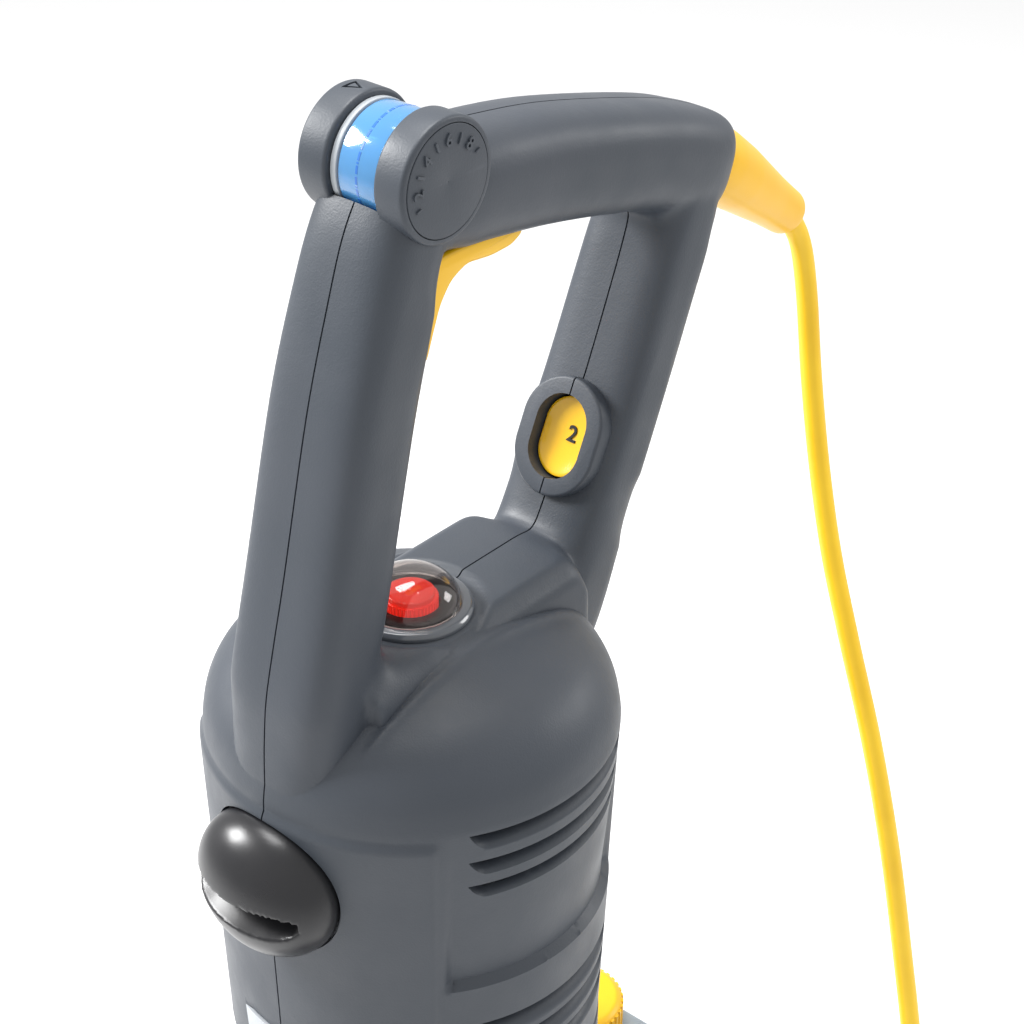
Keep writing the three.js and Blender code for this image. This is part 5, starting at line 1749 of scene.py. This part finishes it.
# ---------------------------------------------------------------------------- brush deck
@dataclass
class BrushDeck:
    """The chassis, the hood, the covers, the bumper, the wheels and the pedal."""

    plate_x: float = 176.0
    front: float = -172.0
    rear: float = 125.0
    frame_z: float = 103.0
    hood_z: float = 128.0
    axis_y: float = 42.0
    axis_z: float = 205.0
    pedal_pivot: Triple = (0.0, 104.0, 137.0)

    def chassis(self) -> None:
        """The steel frame."""
        outline = [(-122, 96), (-122, 30), (-104, 22), (166, 22), (166, 40), (126, 66),
                   (122, self.frame_z)]
        plates = [prism(rounded(outline, 5, 3), x, x + 5, Axis.X, 0.6, 2)
                  for x in (self.plate_x, -self.plate_x - 5)]
        bores = [rod(r, -190, 190, Axis.X, (0, y, z), 48)
                 for r, y, z in ((6.3, 62, 48), (6.3, -62, 48), (5.3, 150, 30))]
        pin = rod(3, 177, 200, Axis.X, (0, -112, 46), 32)
        top = block((-177, -121, 99), (177, 121, self.frame_z), 0.5, 2)
        made = carved(as_mesh(top), adding(*plates, pin) + cutting(*bores))
        add_piece("chassis_frame", made, "deck", STEEL, ["chassis"])
        axle = rod(5, -211, 211, Axis.X, (0, 150, 30), 48, 0.8)
        add_piece("rear_axle", axle, "deck", STEEL, ["wheel_axle"])

    def hood_line(self, inset: float) -> list[Pair]:
        """The hood's outline from the side."""
        low = 26 if not inset else 6
        points = [(self.rear - inset, low), (self.rear - inset, self.hood_z - 20 - inset),
                  (self.rear - 19 - inset, self.hood_z - inset),
                  (self.front + 60 + inset, self.hood_z - inset),
                  (self.front + 12 + inset, self.hood_z - 22 - inset),
                  (self.front + inset, self.hood_z - 42 - inset), (self.front + inset, low)]
        return rounded(points, 14 - inset, 6)

    def hood(self) -> None:
        """The moulded hood with its ears and foot openings."""
        wide = self.plate_x - 0.3
        feet = [block((s - 20, 6, 40), (s + 20, 78, 165)) for s in (-80, 80)]
        ears = [prism(rounded([(96, 106), (112, 106), (112, 143), (96, 143)], 5, 4), x - 2, x + 2,
                      Axis.X, 0.6, 2) for x in (-144, -76)]
        pin = rod(2.8, -155, -65, Axis.X, self.pedal_pivot, 32)
        made = carved(as_mesh(prism(self.hood_line(0), -wide, wide, Axis.X)),
                      cutting(prism(self.hood_line(3), -wide - 1, wide + 1, Axis.X), *feet)
                      + adding(*ears) + cutting(pin))
        add_piece("deck_hood_shell", made, "deck", SHELL, ["deck_hood"], crease=34)

    def bumper(self) -> None:
        """The rubber bumper with two grooves."""
        grooves = cutting(*(block((-230, self.front - 12, z), (230, self.front - 6.4, z + 2))
                            for z in (63, 75)))
        body = block((-208, self.front - 8, 57), (208, self.front - 0.3, 83), 3, 4)
        add_piece("bumper_strip", carved(as_mesh(body), grooves), "deck", RUBBER, ["front_bumper"])

    def spray(self) -> None:
        """The spray bar and its nozzles."""
        bar = rod(6, -120, 120, Axis.X, (0, -146, 70), 48, 1.2)
        ports = [rod(5.5, -9, 0, at=(x, -146, 70), segments=48, edge=0.6) for x in (-75, 75)]
        holes = [rod(3.3, -20, 0, at=(x, -146, 70), segments=32) for x in (-75, 75)]
        made = carved(as_mesh(bar), adding(*ports) + cutting(*holes))
        add_piece("spray_pipe", made, "deck", PALE, ["spray_bar"])
        for i, x in enumerate((-75, 75)):
            tip = turned([(0, -21), (2, -21), (5, -14), (5, -9.3), (3, -9.3), (3, -1), (0, -1)],
                         at=(x, -146, 70), segments=48)
            add_piece(f"fan_nozzle_{i + 1}", tip, "deck", YELLOW, [f"spray_nozzle_{i + 1}"])

    def cover(self, name: str, node: str, outline: Sequence[Pair], side: int) -> None:
        """A moulded side cover with screws and grip ribs.

        Args:
            name: The piece's name.
            node: The CAD solid it stands for.
            outline: Its outline from the side.
            side: 1 for the right and -1 for the left.
        """
        near, far = side * (self.plate_x + 5.3), side * 212.0
        low, high = sorted((near, far))
        shape = rounded(outline, 9, 5)
        middle_y = sum(p[0] for p in shape) / len(shape)
        inner = []
        for y, z in shape:
            inner.append((y + math.copysign(min(3.0, abs(y - middle_y)), middle_y - y),
                          z - 3 if z > 60 else z - 12))
        inner_low, inner_high = sorted((near - side * 6, far - side * 3))
        ribs = [block((min(far, far - side * 0.9), -70 + 14 * k, 46),
                      (max(far, far - side * 0.9), -64 + 14 * k, 88)) for k in range(9)]
        made = carved(as_mesh(prism(shape, low, high, Axis.X, 2.8, 4)),
                      cutting(prism(inner, inner_low, inner_high, Axis.X), *ribs))
        add_piece(name, made, "deck", SHELL, [node], crease=34)
        heads = [bolt((far - side * 1.2, y, z), Axis.X, 4, side * 1.2)
                 for y, z in ((-146, 44), (98, 44), (-104, 96))]
        add_piece(f"{name}_screws", merged(*heads), "deck", STEEL)

    def covers(self) -> None:
        """Both side covers."""
        tower = [(self.axis_y + 36 * math.cos(t), self.axis_z + 36 * math.sin(t))
                 for t in (math.pi * k / 16 for k in range(17))]
        right = [(-168, 30), (112, 30), (112, 96), (78, 150), *tower, (-100, 118), (-150, 84),
                 (-168, 60)]
        left = [(-168, 30), (112, 30), (112, 96), (96, 112), (-112, 112), (-168, 84)]
        self.cover("belt_cover_shell", "belt_cover", right, 1)
        self.cover("left_cover_shell", "side_cover_left", left, -1)

    def wheel(self, name: str, side: int) -> None:
        """A transport wheel: a grooved tyre on a pale hub."""
        at = (0, 150, 30)
        a, b = side * 186.0, side * 208.0
        tyre = [(21, a), (28, a), (30, a + side * 2), (30, a + side * 6.6), (29, a + side * 7.4),
                (29, a + side * 8.4), (30, a + side * 9.2), (30, a + side * 12.8),
                (29, a + side * 13.6), (29, a + side * 14.6), (30, a + side * 15.4),
                (30, b - side * 2), (28, b), (21, b)]
        add_piece(f"{name}_tyre", turned(tyre, Axis.X, at, 96), name, RUBBER, [name])
        hub = turned(softened([(5.3, a + side), (20.9, a + side), (20.9, b - side),
                               (17.6, b - side), (15.6, b - side * 5), (9.6, b - side * 5),
                               (8.6, b), (5.3, b)], 0.5), Axis.X, at, 72)
        spokes = []
        for k in range(6):
            spoke = block((min(b - side * 5.4, b - side * 2), -1.6, 9),
                          (max(b - side * 5.4, b - side * 2), 1.6, 17.4), 0.4, 1)
            bmesh.ops.rotate(spoke, verts=spoke.verts, matrix=Matrix.Rotation(
                math.tau * k / 6, 3, "X"))
            bmesh.ops.translate(spoke, verts=spoke.verts, vec=at)
            spokes.append(spoke)
        add_piece(f"{name}_hub", merged(hub, *spokes), name, PALE)

    def pedal(self) -> None:
        """The foot pedal with its tread, and its pin."""
        barrel = rod(6, -140, -80, Axis.X, self.pedal_pivot, 40)
        plate = block((-140, 104, 136), (-80, 170, 142), 2, 3)
        bore = rod(2.8, -150, -70, Axis.X, self.pedal_pivot, 32)
        ribs = [block((-134, y, 140), (-86, y + 3, 143.6), 0.8, 2) for y in range(122, 166, 8)]
        made = carved(as_mesh(plate), adding(barrel, *ribs) + cutting(bore))
        add_piece("foot_pedal", made, "pedal", YELLOW, ["tilt_pedal"])
        pin = rod(2.5, -148, -72, Axis.X, self.pedal_pivot, 32, 0.5)
        add_piece("pedal_pivot_pin", pin, "deck", STEEL, ["pedal_pin"])

    def build(self) -> None:
        """Makes the brush deck."""
        self.chassis()
        self.hood()
        self.bumper()
        self.spray()
        self.covers()
        self.wheel("wheel_left", -1)
        self.wheel("wheel_right", 1)
        self.pedal()


def main() -> None:
    """Builds the machine piece by piece."""
    logging.basicConfig(level=logging.INFO, format="%(message)s")
    for part in (Studio(), PowerCord(), HeadShell(), Controls(), FrontFittings(), Tank(),
                 Drive(), BrushDeck()):
        part.build()


if __name__ == "__main__":
    main()
